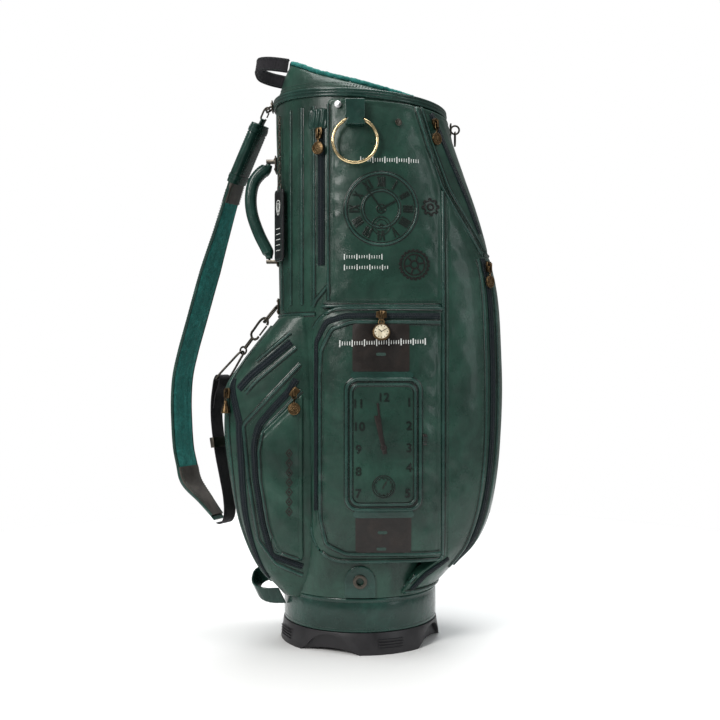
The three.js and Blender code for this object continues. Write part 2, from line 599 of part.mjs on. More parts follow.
// The tab's slot leaves room for the ring to swing out about its top.
const swungRing = (turn) => towelTorus(0.75).translate(0, 0, -TOWEL.radius).rotate(-turn, 0, 0)
  .translate(0, 0, TOWEL.radius);
const towelSlot = [0, 25, 50].map(swungRing).reduce((a, b) => a.add(b));
const towelTab = solid(box(28, 10, 36, 0, 0, 40)).subtract(towelSlot);
add("towel_loop", towelTab, "green", { parent: towelGroup });

// A domed press stud on a short post, for the rain hood.
const studSolid = () => joined(disc(5, 1.6, 16), moved(disc(3.2, 3.4, 12), 0, -1.4, 0));
for (const [name, angle, z] of [["hood_stud_rear", degToRad(-104), 782],
  ["hood_stud_front", degToRad(-66), 757]]) {
  const r = swollenRadius(angle, z, PANEL_BOX, PANEL_EDGE, PANEL_RISE) + 1.9;
  add(name, studSolid(), "brass", { at: polar(angle, r, z).toArray(), turn: [0, 0, angle + Math.PI / 2] });
}

const TAB_Z = 105;
function baseTab() {
  const s = new THREE.Shape();
  s.moveTo(-22, HEM_Z + 1);
  s.lineTo(22, HEM_Z + 1);
  s.lineTo(22, TAB_Z);
  s.absarc(0, TAB_Z, 22, 0, Math.PI);
  s.lineTo(-22, HEM_Z + 1);
  const outer = polarSolid((angle, z) => tubeRadius(angle, z) + 3.2, [60, 140], 72);
  return outer.intersect(slab(s, -1)).subtract(tubeEnvelope)
    .subtract(solid(moved(disc(6, 30, 20), 0, -115, TAB_Z)));
}
add("base_tab", baseTab(), "green");
const eyelet = solid(disc(10, 1.8, 24)).subtract(solid(disc(5.4, 4, 20)));
add("base_eyelet", eyelet, "brass", { at: [0, -120.9, TAB_Z] });

// ---------------------------------------------------------------- carry handle
const HANDLE_LOW = 580;
const HANDLE_HIGH = 716;
const HANDLE_PIN_X = -139.5;
const handlePath = [
  [HANDLE_PIN_X, HANDLE_HIGH + 4], [-142, 715], [-152, 708], [-163, 694], [-168, 671], [-166, 645],
    [-155, 613], [-144, 591],
  [-140.5, 583], [HANDLE_PIN_X, HANDLE_LOW - 4],
];
const endTaper = (share) => {
  const t = THREE.MathUtils.smoothstep(Math.abs(2 * share - 1), 0.86, 0.99);
  return [1 - 0.48 * t, 1 - 0.4 * t];
};
const pinSolid = (r, z, length) => solid(new THREE.CylinderGeometry(r, r, length, 12).rotateX(Math.PI / 2)
  .translate(HANDLE_PIN_X, 0, z));
const handleSolid = strapSolid(strapStations(handlePath, 0, 18), 27, 15, endTaper)
  .subtract(pinSolid(2.2, HANDLE_HIGH + 2, 10)).subtract(pinSolid(2.2, HANDLE_LOW - 2, 10));
add("carry_handle", handleSolid, "green");
// Each bracket is riveted to the spine, and its pin holds one end of the handle.
for (const [name, end, up] of [["handle_anchor_top", HANDLE_HIGH, 1],
  ["handle_anchor_bottom", HANDLE_LOW, -1]]) {
  const plateX = -spineReach(end + up * 6) - 1.7;
  const lug = solid(box(plateX - HANDLE_PIN_X + 4.5, 12, 5, (plateX + HANDLE_PIN_X - 4.5) / 2, 0,
    end + up * 9));
  const bracket = solid(box(2, 28, 24, plateX, 0, end + up * 4)).add(lug)
    .add(pinSolid(1.8, end + up * 3.6, 7));
  add(name, bracket, "brass");
}

// ---------------------------------------------------------------- shoulder strap
// The strap hangs from two bars, and swings about the line through them. It is drawn in the XZ plane
// and rests turned towards the far side, so that its near edge lies further from the bag.
const LINK_BAR = [-147, 478.5];
const UPPER_BAR = [-143.5, 803];
const STRAP_REST = degToRad(-28);
const swing = new THREE.Group();
swing.position.set(LINK_BAR[0], 0, LINK_BAR[1]);
swing.quaternion.setFromAxisAngle(v3(UPPER_BAR[0] - LINK_BAR[0], 0,
  UPPER_BAR[1] - LINK_BAR[1]).normalize(), STRAP_REST);
bag.add(swing);
const strapPlane = new THREE.Group();
strapPlane.position.copy(swing.position).negate();
swing.add(strapPlane);

// The pad's end tapers to the webbing. Its upper half untwists towards the sleeve.
const padTwist = through([[560, 0], [640, -10], [790, -14]]);
const padPath = [
  [-200, 698], [-213, 663], [-226, 626], [-242, 583], [-257, 541], [-277, 482], [-294, 432], [-304, 394],
    [-307, 357],
  [-306, 321], [-302, 277], [-296, 254], [-288, 227], [-258, 197], [-231, 170],
];
const padTaper = (share) => {
  const t = THREE.MathUtils.smoothstep(share, 0.84, 1);
  return [1 - 0.42 * t, 1 - 0.62 * t];
};
add("strap_pad", strapSolid(strapStations(padPath, padTwist, 24), 50, 9, padTaper), "green",
  { parent: strapPlane });
const sleevePath = [[-155, 783.5], [-165, 764], [-182, 732], [-198.5, 700.5]];
add("strap_sleeve", strapSolid(strapStations(sleevePath, padTwist, 6), 52, 15), "green",
  { parent: strapPlane });

// The webbing starts under the pad's end, climbs through the adjuster, turns round the ring's bar, and
// comes back to the adjuster.
const RING_BAR = [-226, 391];
const webbingPath = [
  [-226.5, 165.5], [-220, 165], [-214, 171], [-211.5, 184], [-213.5, 208], [-220.5, 239], [-228, 270],
    [-233.5, 300],
  [-237, 330], [-237, 356], [-234, 378], [-231.5, 390], [-227, 396.2], [-221.5, 393], [-222.5, 382],
    [-229, 366], [-232.4, 345],
];
add("strap_webbing", strapSolid(strapStations(webbingPath, 0, 36), 30, 2.2), "black", { parent: strapPlane });

// A group in the strap's plane whose Z leans from upright towards the bag.
function strapGroup([x, z], lean) {
  const group = new THREE.Group();
  group.position.set(x, 0, z);
  group.rotation.set(0, lean, 0);
  strapPlane.add(group);
  return group;
}
const leanOf = ([x0, z0], [x1, z1]) => Math.atan2(x1 - x0, z1 - z0);
const adjusterFrame = solid(box(7, 38, 16)).subtract(solid(box(4.4, 31.5, 30)));
add("strap_adjuster", adjusterFrame, "brass", { parent: strapGroup([-232, 291],
  leanOf([-228, 270], [-233.5, 300])) });

// A long ring joins the webbing to the lower hook. It is drawn with its bar at the origin.
const pullLean = leanOf(RING_BAR, LINK_BAR);
const pullLength = Math.hypot(LINK_BAR[0] - RING_BAR[0], LINK_BAR[1] - RING_BAR[1]);
const RING_LENGTH = 57;
const ringLoop = [
  [-17, 0], [0, -0.2], [17, 0], [17, 6], [11, 34], [5, RING_LENGTH - 2], [0, RING_LENGTH],
    [-5, RING_LENGTH - 2], [-11, 34], [-17, 6],
];
const ringWire = geometryOf(wire(ringLoop, 1.7, 28, true)).rotateZ(Math.PI / 2);
add("strap_ring", ringWire, "brass", { parent: strapGroup(RING_BAR, pullLean) });

// A snap hook, drawn with its base at the origin, its bend up and its mouth to +X. The swivel and the
// eye hang below.
const SNAP = { half: 7, height: 40, bar: 33.5, wire: 2.1, gate: 12 };
const SMALL_SNAP = { half: 5.2, height: 22, bar: 16.2, wire: 1.6, gate: 7.4 };
const snapPath = ({ half, height, gate }) => [
  [half, gate - 2.6], [half - 0.6, half * 0.5], [0, 0], [-half + 0.4, half * 0.6], [-half, gate],
    [-half, height - half * 1.2],
  [-half * 0.66, height - half * 0.36], [0, height], [half * 0.66, height - half * 0.32],
    [half, height - half],
];
function snapHook(size, stubLength, eyeDrop) {
  const stub = solid(new THREE.CylinderGeometry(2.7, 2.7, stubLength, 10).rotateX(Math.PI / 2)
    .translate(0, 0, -stubLength / 2));
  const hook = wire(snapPath(size), size.wire, 18).add(stub);
  return eyeDrop ? hook.add(solid(moved(ring(5.7, 1.6, 18, 6), 0, 0, -eyeDrop))) : hook;
}
const snapGate = ({ half, height, gate, wire: r }) => {
  const length = height - half - 1.6 - gate;
  return new THREE.CylinderGeometry(r * 0.7, r * 0.7, length, 8).rotateX(Math.PI / 2)
    .translate(0, 0, length / 2);
};
const fromBar = (lean, [x, z], up) => [x - up * Math.sin(lean), z - up * Math.cos(lean)];
const lowerSnap = strapGroup(fromBar(pullLean, LINK_BAR, SNAP.bar), pullLean);
const eyeDrop = pullLength - SNAP.bar - RING_LENGTH - 2.1;
add("strap_hook_lower", snapHook(SNAP, eyeDrop - 4.6, eyeDrop), "brass", { parent: lowerSnap });
add("hook_gate_lower", snapGate(SNAP), "brass", { parent: lowerSnap, at: [SNAP.half, 0, SNAP.gate] });
const upperSnap = strapGroup(fromBar(degToRad(30), UPPER_BAR, SMALL_SNAP.bar), degToRad(30));
add("strap_hook_upper", snapHook(SMALL_SNAP, 3.2, 0), "brass", { parent: upperSnap });
add("hook_gate_upper", snapGate(SMALL_SNAP), "brass",
  { parent: upperSnap, at: [SMALL_SNAP.half, 0, SMALL_SNAP.gate] });

// Each bar is the outer end of a wire D on a riveted plate.
function dRing([x, z], reach, lean, half, plate) {
  const d = [[-half, -1], [0, -1.2], [half, -1], [half + 1, 5], [half, reach], [0, reach + 0.8],
    [-half, reach], [-half - 1, 5]];
  const made = geometryOf(wire(d, 1.7, 24, true)).rotateZ(Math.PI / 2).translate(0, 0, 1.2).rotateY(lean)
    .translate(x, 0, z);
  return solid(made).add(solid(plate));
}
const upperPlate = box(2, 22, 15, -134.6, 0, 809.5);
add("dring_upper", dRing(UPPER_BAR, 8.2, degToRad(56), 8, upperPlate), "brass");
const lowerPlate = box(2, 30, 24, -spineReach(506) - 1.6, 0, 502);
add("dring_lower", dRing(LINK_BAR, 29, degToRad(39), 12, lowerPlate), "brass");

// ---------------------------------------------------------------- tag, grab loop, front clip
const TAG_ANGLE = degToRad(207);
const TAG_TOP = 782;
const tagGroup = new THREE.Group();
tagGroup.position.set(...onTube(TAG_ANGLE, TAG_TOP, 5.5));
tagGroup.rotation.set(0, 0, TAG_ANGLE + Math.PI / 2);
bag.add(tagGroup);
add("hang_tag", joined(box(8, 2.4, 112, 0, 0, -56), box(30, 4, 106, 0, 0, -163)), "black",
  { parent: tagGroup });

// A wide leather loop under the rear pocket, to lift the base by.
function grabLoop() {
  const path = new THREE.CatmullRomCurve3([
    v3(-116.5, -36, 66), v3(-140, -34, 66), v3(-156, -22, 70), v3(-160, 0, 77), v3(-156, 22, 84),
      v3(-140, 34, 88), v3(-124, 36, 90),
  ], false, "centripetal");
  const up = v3(-0.45, 0, 0.9).normalize();
  const count = 16;
  const stations = steps(count + 1).map((i) => {
    const deep = path.getTangentAt(i / count).cross(up).normalize();
    return { at: path.getPointAt(i / count), across: up, through: deep };
  });
  return strapSolid(stations, 26, 3).subtract(rearForm(-0.6))
    .subtract(solid(new THREE.CylinderGeometry(COLLAR_RADIUS + 0.5, COLLAR_RADIUS + 0.5, 200, 48)
    .rotateX(Math.PI / 2)));
}
add("grab_loop", grabLoop(), "green");

const CLIP_Z = 774;
const clipX = frontRadius(0, CLIP_Z);
const CLIP_RING = 6.5;
const ringX = clipX + 10.2;
const frontPlate = box(2, 14, 18, clipX + 3.4, 0, CLIP_Z);
add("front_ring", solid(moved(ring(CLIP_RING, 1.5, 18, 6), ringX, 0, CLIP_Z)).add(solid(frontPlate)),
  "brass");
// The clip hangs on the ring's lowest point, and is drawn about it.
const CLIP_TOP = 3.3;
const clipLoop = [[-4.6, 0], [0, CLIP_TOP], [4.6, 0], [4.6, -14], [0, -18.5], [-4.6, -14]];
const clipWire = geometryOf(wire(clipLoop, 1.4, 24, true)).rotateZ(Math.PI / 2);
add("front_clip", clipWire, "brass", { at: [ringX, 0, CLIP_Z - CLIP_RING] });

export default bag;
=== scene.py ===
import json
import math
import bmesh
import bpy
import numpy as np
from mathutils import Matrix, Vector
from mathutils.bvhtree import BVHTree


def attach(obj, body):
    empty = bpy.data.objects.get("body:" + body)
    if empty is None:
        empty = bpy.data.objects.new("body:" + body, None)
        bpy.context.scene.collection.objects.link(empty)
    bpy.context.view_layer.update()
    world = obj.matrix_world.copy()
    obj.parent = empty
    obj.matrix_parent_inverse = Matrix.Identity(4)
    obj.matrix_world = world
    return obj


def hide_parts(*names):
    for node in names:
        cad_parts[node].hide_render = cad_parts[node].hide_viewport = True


# A leather golf staff bag. Lengths are in millimetres until a mesh is made: X points to the large front
# pocket, -Y is the near side, and Z is up.
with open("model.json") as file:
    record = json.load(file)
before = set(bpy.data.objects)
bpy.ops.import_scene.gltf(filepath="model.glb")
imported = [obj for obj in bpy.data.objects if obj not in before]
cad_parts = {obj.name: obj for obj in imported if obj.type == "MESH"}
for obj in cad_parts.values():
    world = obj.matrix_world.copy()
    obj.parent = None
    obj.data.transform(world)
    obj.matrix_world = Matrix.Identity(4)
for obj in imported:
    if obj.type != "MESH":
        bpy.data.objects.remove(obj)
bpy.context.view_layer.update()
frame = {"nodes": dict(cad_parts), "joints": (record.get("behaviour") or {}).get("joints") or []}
MM = 0.001
NEAR, FAR = -1, 1
scene = bpy.context.scene


# ------------------------------------------------------------------ camera, light and floor
def make_camera():
    data = bpy.data.cameras.new("camera")
    data.lens = 50
    data.sensor_width = 36
    camera = bpy.data.objects.new("camera", data)
    scene.collection.objects.link(camera)
    camera.location = (0, -1.54, 0.42)
    camera.rotation_euler = (math.pi / 2, 0, 0)
    scene.camera = camera


def area_light(name, place, target, size, power, colour=(1, 1, 1)):
    data = bpy.data.lights.new(name, "AREA")
    data.shape = "RECTANGLE"
    data.size, data.size_y = size
    data.energy = power
    data.color = colour
    lamp = bpy.data.objects.new(name, data)
    scene.collection.objects.link(lamp)
    lamp.location = place
    lamp.rotation_euler = (Vector(target) - Vector(place)).to_track_quat("-Z", "Y").to_euler()
    return lamp


def make_lights():
    area_light("key", (-1.5, -1.9, 1.9), (0, 0, 0.5), (0.7, 1.6), 56, (1, 0.985, 0.96))
    area_light("fill", (1.9, -1.5, 1.1), (0, 0, 0.45), (0.5, 1.7), 9, (0.93, 0.97, 1))
    area_light("top", (0.1, 0.2, 2.3), (0, 0, 0.5), (1.5, 1.5), 44)
    back = area_light("back", (0.4, 2.1, 1.4), (0, 0, 0.5), (1.6, 1.2), 34, (0.95, 0.98, 1))
    back.visible_glossy = False  # it would burn out the rim of the cuff
    world = bpy.data.worlds.new("studio")
    scene.world = world
    world.use_nodes = True
    tree = world.node_tree
    glow = tree.nodes["Background"]
    glow.inputs[0].default_value = (0.98, 1.0, 0.98, 1)
    glow.inputs[1].default_value = 0.26
    paper = tree.nodes.new("ShaderNodeBackground")
    paper.inputs[0].default_value = (1, 1, 1, 1)
    seen = tree.nodes.new("ShaderNodeLightPath")
    both = tree.nodes.new("ShaderNodeMixShader")
    tree.links.new(seen.outputs["Is Camera Ray"], both.inputs[0])
    tree.links.new(glow.outputs[0], both.inputs[1])
    tree.links.new(paper.outputs[0], both.inputs[2])
    tree.links.new(both.outputs[0], tree.nodes["World Output"].inputs[0])
    scene.view_settings.view_transform = "Standard"


# ------------------------------------------------------------------ shader nodes
class Shader:
    """A Principled material with short calls for its texture nodes. Textures are read in object space."""

    def __init__(self, name):
        self.material = bpy.data.materials.new(name)
        self.material.use_nodes = True
        self.tree = self.material.node_tree
        self.tree.nodes.clear()
        out = self.tree.nodes.new("ShaderNodeOutputMaterial")
        self.bsdf = self.tree.nodes.new("ShaderNodeBsdfPrincipled")
        self.tree.links.new(self.bsdf.outputs[0], out.inputs[0])
        self.where = self.tree.nodes.new("ShaderNodeTexCoord").outputs["Object"]

    def node(self, kind, inputs=(), **settings):
        made = self.tree.nodes.new(kind)
        for key, value in settings.items():
            setattr(made, key, value)
        for key, value in dict(inputs).items():
            if isinstance(value, bpy.types.NodeSocket):
                self.tree.links.new(value, made.inputs[key])
            else:
                made.inputs[key].default_value = value
        return made

    def stretched(self, scale):
        return self.node("ShaderNodeMapping", {"Vector": self.where, "Scale": scale}).outputs[0]

    def noise(self, scale, detail=4, rough=0.55, distortion=0, where=None):
        inputs = {"Vector": where or self.where, "Scale": scale, "Detail": detail,
                  "Roughness": rough, "Distortion": distortion}
        return self.node("ShaderNodeTexNoise", inputs).outputs["Fac"]

    def cells(self, scale, feature="F1", where=None):
        made = self.node("ShaderNodeTexVoronoi", {"Vector": where or self.where, "Scale": scale},
                         feature=feature)
        return made.outputs["Distance"]

    def wave(self, scale, direction):
        inputs = {"Vector": self.where, "Scale": scale, "Distortion": 0}
        return self.node("ShaderNodeTexWave", inputs, bands_direction=direction).outputs["Fac"]

    def ramp(self, fac, stops):
        made = self.node("ShaderNodeValToRGB", {"Fac": fac})
        elements = made.color_ramp.elements
        while len(elements) < len(stops):
            elements.new(0.5)
        for element, (place, colour) in zip(elements, stops):
            element.position = place
            element.color = (*colour, 1) if len(colour) == 3 else colour
        return made.outputs[0]

    def grey(self, fac, low, high, start=0.3, end=0.7):
        inputs = {"Value": fac, "From Min": start, "From Max": end, "To Min": low, "To Max": high}
        return self.node("ShaderNodeMapRange", inputs).outputs[0]

    def math(self, operation, a, b):
        return self.node("ShaderNodeMath", {0: a, 1: b}, operation=operation).outputs[0]

    def mix(self, fac, a, b):
        made = self.node("ShaderNodeMix", data_type="RGBA")
        for index, value in ((0, fac), (6, a), (7, b)):
            if isinstance(value, bpy.types.NodeSocket):
                self.tree.links.new(value, made.inputs[index])
            else:
                made.inputs[index].default_value = value if index == 0 else (*value, 1)
        return made.outputs[2]

    def edges(self, low=0.5, high=0.56):
        point = self.node("ShaderNodeNewGeometry").outputs["Pointiness"]
        return self.grey(point, 0, 1, low, high)

    def bump(self, height, strength, distance, normal=None):
        inputs = {"Height": height, "Strength": strength, "Distance": distance}
        if normal:
            inputs["Normal"] = normal
        return self.node("ShaderNodeBump", inputs).outputs[0]

    def done(self, colour=None, rough=None, normal=None, **fixed):
        for key, value in (("Base Color", colour), ("Roughness", rough), ("Normal", normal)):
            if isinstance(value, bpy.types.NodeSocket):
                self.tree.links.new(value, self.bsdf.inputs[key])
            elif value is not None:
                self.bsdf.inputs[key].default_value = (*value, 1) if key == "Base Color" else value
        for key, value in fixed.items():
            self.bsdf.inputs[key.replace("_", " ").title().replace("Ior", "IOR")].default_value = value
        return self.material


def leather(name, dark, middle, light, gloss=0.28, grain=1.0, mottle=16):
    """Polished hide: cloudy colour, fine pores, soft creases and paler rubbed edges."""
    s = Shader(name)
    cloud = s.noise(mottle, 6, 0.62, 0.6)
    streak = s.noise(60, 5, 0.6, 0.3, s.stretched((1, 1, 0.35)))
    base = s.ramp(cloud, [(0.3, dark), (0.5, middle), (0.72, light)])
    base = s.mix(s.grey(streak, 0, 0.4, 0.42, 0.75), base, dark)
    base = s.mix(s.grey(s.edges(0.5, 0.58), 0, 0.45, 0, 1), base, light)
    pores = s.cells(720, "DISTANCE_TO_EDGE")
    fine = s.noise(1500, 3, 0.6)
    creases = s.cells(46, "DISTANCE_TO_EDGE", s.node("ShaderNodeMapping", {"Vector": s.where,
                      "Rotation": (0.4, 0.2, 0.5), "Scale": (1, 1, 0.55)}).outputs[0])
    normal = s.bump(s.noise(26, 4, 0.5, 0.4), 0.28, 0.006)
    normal = s.bump(s.grey(creases, 0, 1, 0, 0.12), 0.07 * grain, 0.0012, normal)
    normal = s.bump(s.grey(pores, 0, 1, 0, 0.25), 0.22 * grain, 0.0003, normal)
    normal = s.bump(fine, 0.12 * grain, 0.0002, normal)
    rough = s.grey(s.noise(34, 5, 0.6), gloss - 0.06, gloss + 0.14)
    return s.done(base, rough, normal, specular_ior_level=0.32, coat_weight=0.14, coat_roughness=0.12)


def woven(name, dark, light, scale, rough=0.62, sheen=0.25, depth=0.0004):
    """Ribbed weave: two crossed sets of yarns with a little fuzz."""
    s = Shader(name)
    across = s.math("ADD", s.wave(scale, "X"), s.wave(scale, "Y"))
    cloth = s.math("MULTIPLY", across, s.wave(scale * 0.8, "Z"))
    colour = s.ramp(s.math("ADD", s.math("MULTIPLY", cloth, 0.35), s.math("MULTIPLY", s.noise(240, 4), 0.5)),
                    [(0.25, dark), (0.75, light)])
    normal = s.bump(cloth, 0.6, depth)
    normal = s.bump(s.noise(1400, 3), 0.25, 0.0002, normal)
    return s.done(colour, rough, normal, sheen_weight=sheen, sheen_roughness=0.5, specular_ior_level=0.25)


def plush(name, dark, light, deep):
    """Short pile: tufts that catch the light, parted here and there."""
    s = Shader(name)
    tufts = s.noise(520, 6, 0.75)
    parted = s.noise(70, 5, 0.6, 0.8)
    colour = s.ramp(s.math("ADD", s.math("MULTIPLY", tufts, 0.6), s.math("MULTIPLY", parted, 0.45)),
                    [(0.3, deep), (0.52, dark), (0.75, light)])
    normal = s.bump(parted, 0.5, 0.003)
    normal = s.bump(tufts, 0.9, 0.0016, normal)
    return s.done(colour, 0.85, normal, sheen_weight=0.6, sheen_roughness=0.35, sheen_tint=(*light, 1))


def metal(name, dark, middle, bright, rough=0.3, aged=0.5):
    """Cast metal: dark in its recesses, brighter on rubbed edges, with small pits and scratches."""
    s = Shader(name)
    patina = s.noise(160, 6, 0.65, 0.4)
    colour = s.ramp(patina, [(0.32, dark), (0.5, middle), (0.66, bright)])
    colour = s.mix(s.grey(s.edges(0.49, 0.54), 0, 0.8, 0, 1), colour, bright)
    colour = s.mix(s.grey(s.edges(0.44, 0.49), aged, 0, 0, 1), colour, dark)
    scratch = s.noise(900, 3, 0.6, 0.0, s.stretched((0.2, 1, 1)))
    normal = s.bump(scratch, 0.12, 0.0001)
    normal = s.bump(patina, 0.15, 0.0004, normal)
    return s.done(colour, s.grey(patina, rough - 0.08, rough + 0.18), normal, metallic=1.0)


def moulded(name, dark, light, rough=0.42, scale=900):
    """Moulded plastic with a fine spark-eroded texture and faint scuffs."""
    s = Shader(name)
    scuff = s.noise(40, 6, 0.7, 0.5)
    colour = s.ramp(scuff, [(0.35, dark), (0.7, light)])
    colour = s.mix(s.grey(s.edges(0.5, 0.57), 0, 0.5, 0, 1), colour, light)
    normal = s.bump(s.noise(scale, 4, 0.6), 0.22, 0.0003)
    return s.done(colour, s.grey(scuff, rough - 0.08, rough + 0.14), normal)


def satin_print(name, dark, light, rough=0.45):
    """Printed or appliqued film over the hide, slightly uneven."""
    s = Shader(name)
    patch = s.noise(180, 5, 0.6)
    normal = s.bump(s.cells(720, "DISTANCE_TO_EDGE"), 0.12, 0.0002)
    return s.done(s.ramp(patch, [(0.35, dark), (0.65, light)]), rough, normal, specular_ior_level=0.3)


def make_materials():
    return {
        "hide": leather("leather_bottle_green", (0.0058, 0.0225, 0.016), (0.0115, 0.042, 0.0295),
                        (0.022, 0.071, 0.05)),
        "hide_shiny": leather("leather_patent_green", (0.005, 0.02, 0.0155), (0.009, 0.034, 0.027),
                              (0.019, 0.064, 0.05), 0.2, 0.5),
        "piping": leather("leather_piping", (0.005, 0.018, 0.015), (0.009, 0.03, 0.025), (0.03, 0.085, 0.068),
                          0.2, 0.5),
        # near-black leather for the pressed marks and the bands under the piping: its darkness is painted shade,
        # for the shadows of the relief and the shadow beside each pipe
        "emboss": leather("leather_painted_shade", (0.003, 0.0055, 0.0045), (0.0045, 0.009, 0.007),
                          (0.01, 0.02, 0.015), 0.22, 0.4),
        "brown": leather("leather_chocolate", (0.004, 0.0026, 0.002), (0.0085, 0.0056, 0.0044),
                         (0.019, 0.0125, 0.0095), 0.42, 0.8, 34),
        "grey_brown": leather("leather_taupe", (0.026, 0.023, 0.02), (0.05, 0.044, 0.039),
                              (0.085, 0.075, 0.066), 0.42, 1.0, 40),
        "tag": leather("leather_black", (0.003, 0.003, 0.0035), (0.006, 0.006, 0.007), (0.013, 0.013, 0.015),
                       0.36, 1.0, 40),
        "navy": woven("nylon_navy", (0.0015, 0.0055, 0.009), (0.005, 0.015, 0.022), 900, 0.62, 0.0),
        "coil": moulded("nylon_coil", (0.001, 0.004, 0.007), (0.005, 0.013, 0.02), 0.45),
        "webbing": woven("webbing_black", (0.004, 0.003, 0.005), (0.017, 0.014, 0.021), 420, 0.65, 0.08,
                         0.0008),
        "curtain": woven("curtain_black", (0.007, 0.008, 0.009), (0.022, 0.024, 0.026), 600, 0.8, 0.1),
        "plush": plush("plush_teal", (0.006, 0.13, 0.115), (0.035, 0.33, 0.29), (0.002, 0.05, 0.045)),
        "brass": metal("antique_brass", (0.008, 0.0055, 0.0035), (0.036, 0.023, 0.0125), (0.14, 0.09, 0.045),
                       0.28, 0.7),
        "gold": metal("pale_gold", (0.28, 0.18, 0.07), (0.6, 0.43, 0.2), (0.9, 0.72, 0.42), 0.18, 0.3),
        "gunmetal": metal("gunmetal", (0.006, 0.006, 0.006), (0.022, 0.02, 0.018), (0.1, 0.09, 0.075), 0.34,
                          0.6),
        "steel": metal("aluminium_satin", (0.35, 0.35, 0.37), (0.6, 0.6, 0.62), (0.8, 0.8, 0.82), 0.3, 0.2),
        "base": moulded("base_plastic", (0.005, 0.0045, 0.006), (0.013, 0.0115, 0.0145)),
        "liner": moulded("liner_plastic", (0.03, 0.034, 0.034), (0.055, 0.06, 0.06), 0.5),
        "thread": woven("thread_green", (0.004, 0.014, 0.012), (0.02, 0.052, 0.042), 2400, 0.6, 0.2),
        "thread_light": woven("thread_sage", (0.018, 0.045, 0.036), (0.045, 0.095, 0.078), 2400, 0.6, 0.2),
        "white": satin_print("print_white", (0.5, 0.52, 0.5), (0.76, 0.78, 0.76)),
        "cream": satin_print("dial_cream", (0.5, 0.43, 0.3), (0.76, 0.69, 0.54), 0.35),
        "ink": satin_print("ink_dark", (0.003, 0.0035, 0.0025), (0.009, 0.009, 0.007), 0.45),
    }


# ------------------------------------------------------------------ meshes from arrays
def full_turn(count):
    """Angles spread evenly over a circle."""
    return np.arange(count) / count * 2 * math.pi


def about_y(a):
    return np.array([[math.cos(a), 0, math.sin(a)], [0, 1, 0], [-math.sin(a), 0, math.cos(a)]])


def about_z(a):
    return np.array([[math.cos(a), -math.sin(a), 0], [math.sin(a), math.cos(a), 0], [0, 0, 1]])


def grid(rows, cols, wrap=False):
    row = np.arange(rows - 1)[:, None]
    col = np.arange(cols if wrap else cols - 1)[None, :]
    a, b = row * cols + col, row * cols + (col + 1) % cols
    return np.stack([a, b, b + cols, a + cols], -1).reshape(-1, 4)


def mesh_from(name, verts, faces):
    """faces is a list of arrays, each of polygons with the same number of corners."""
    mesh = bpy.data.meshes.new(name)
    corners = np.concatenate([f.ravel() for f in faces]).astype(np.int32)
    sizes = np.concatenate([np.full(len(f), f.shape[1]) for f in faces])
    starts = np.concatenate([[0], np.cumsum(sizes)[:-1]]).astype(np.int32)
    mesh.vertices.add(len(verts))
    mesh.vertices.foreach_set("co", (np.asarray(verts, float) * MM).astype(np.float32).ravel())
    mesh.loops.add(len(corners))
    mesh.loops.foreach_set("vertex_index", corners)
    mesh.polygons.add(len(sizes))
    mesh.polygons.foreach_set("loop_start", starts)
    mesh.update(calc_edges=True)
    mesh.validate()
    return mesh


class Parts:
    """Several shapes that become one mesh."""

    def __init__(self):
        self.verts, self.faces, self.count = [], [], 0

    def add(self, verts, *faces):
        verts = np.asarray(verts, float).reshape(-1, 3)
        self.verts.append(verts)
        self.faces += [np.asarray(f) + self.count for f in faces if len(f)]
        self.count += len(verts)
        return self

    def lay(self, shape):
        verts, faces = shape
        return self.add(verts, *faces)

    def all(self):
        return np.concatenate(self.verts), self.faces


def settle(obj, material, body, nodes, smooth=35):
    made = bmesh.new()
    made.from_mesh(obj.data)
    bmesh.ops.remove_doubles(made, verts=made.verts, dist=2e-6)
    bmesh.ops.recalc_face_normals(made, faces=made.faces)
    made.to_mesh(obj.data)
    made.free()
    obj.data.materials.clear()
    obj.data.materials.append(material)
    if smooth >= 180:
        obj.data.shade_smooth()
    else:
        obj.data.set_sharp_from_angle(angle=math.radians(smooth))
    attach(obj, body)
    if nodes:
        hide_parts(*nodes)
    return obj


def piece(name, verts, faces, material, body="bag", slot="leather_green", nodes=(), smooth=60):
    obj = bpy.data.objects.new(name, mesh_from(name, verts, faces))
    scene.collection.objects.link(obj)
    return settle(obj, material, body, nodes, smooth)


def from_parts(name, parts, material, **how):
    verts, faces = parts.all()
    return piece(name, verts, faces, material, **how)


# ------------------------------------------------------------------ paths
def unit(v):
    return v / np.maximum(np.linalg.norm(v, axis=-1, keepdims=True), 1e-9)


def dense(points, step, closed=False):
    """The same polyline with no stretch longer than step."""
    p = np.asarray(points, float)
    ends = np.roll(p, -1, 0) if closed else p[1:]
    made = []
    for a, b in zip(p, ends):
        count = max(1, int(np.ceil(np.linalg.norm(b - a) / step)))
        made += [a + (b - a) * k / count for k in range(count)]
    return np.array(made if closed else made + [p[-1]])


def soften(points, passes=2, closed=False, corner=14):
    """Rounds a polyline's corners by cutting them."""
    p = dense(points, corner, closed)
    for _ in range(passes):
        nxt = np.roll(p, -1, 0) if closed else p[1:]
        cur = p if closed else p[:-1]
        cut = np.stack([cur * 0.75 + nxt * 0.25, cur * 0.25 + nxt * 0.75], 1).reshape(-1, p.shape[1])
        p = cut if closed else np.concatenate([p[:1], cut, p[-1:]])
    return p


def resample(points, step, closed=False):
    p = np.asarray(points, float)
    if closed:
        p = np.concatenate([p, p[:1]])
    reach = np.concatenate([[0], np.cumsum(np.linalg.norm(np.diff(p, axis=0), axis=1))])
    count = max(2, int(round(reach[-1] / step)) + 1)
    at = np.linspace(0, reach[-1], count)
    made = np.stack([np.interp(at, reach, p[:, k]) for k in range(p.shape[1])], 1)
    return made[:-1] if closed else made


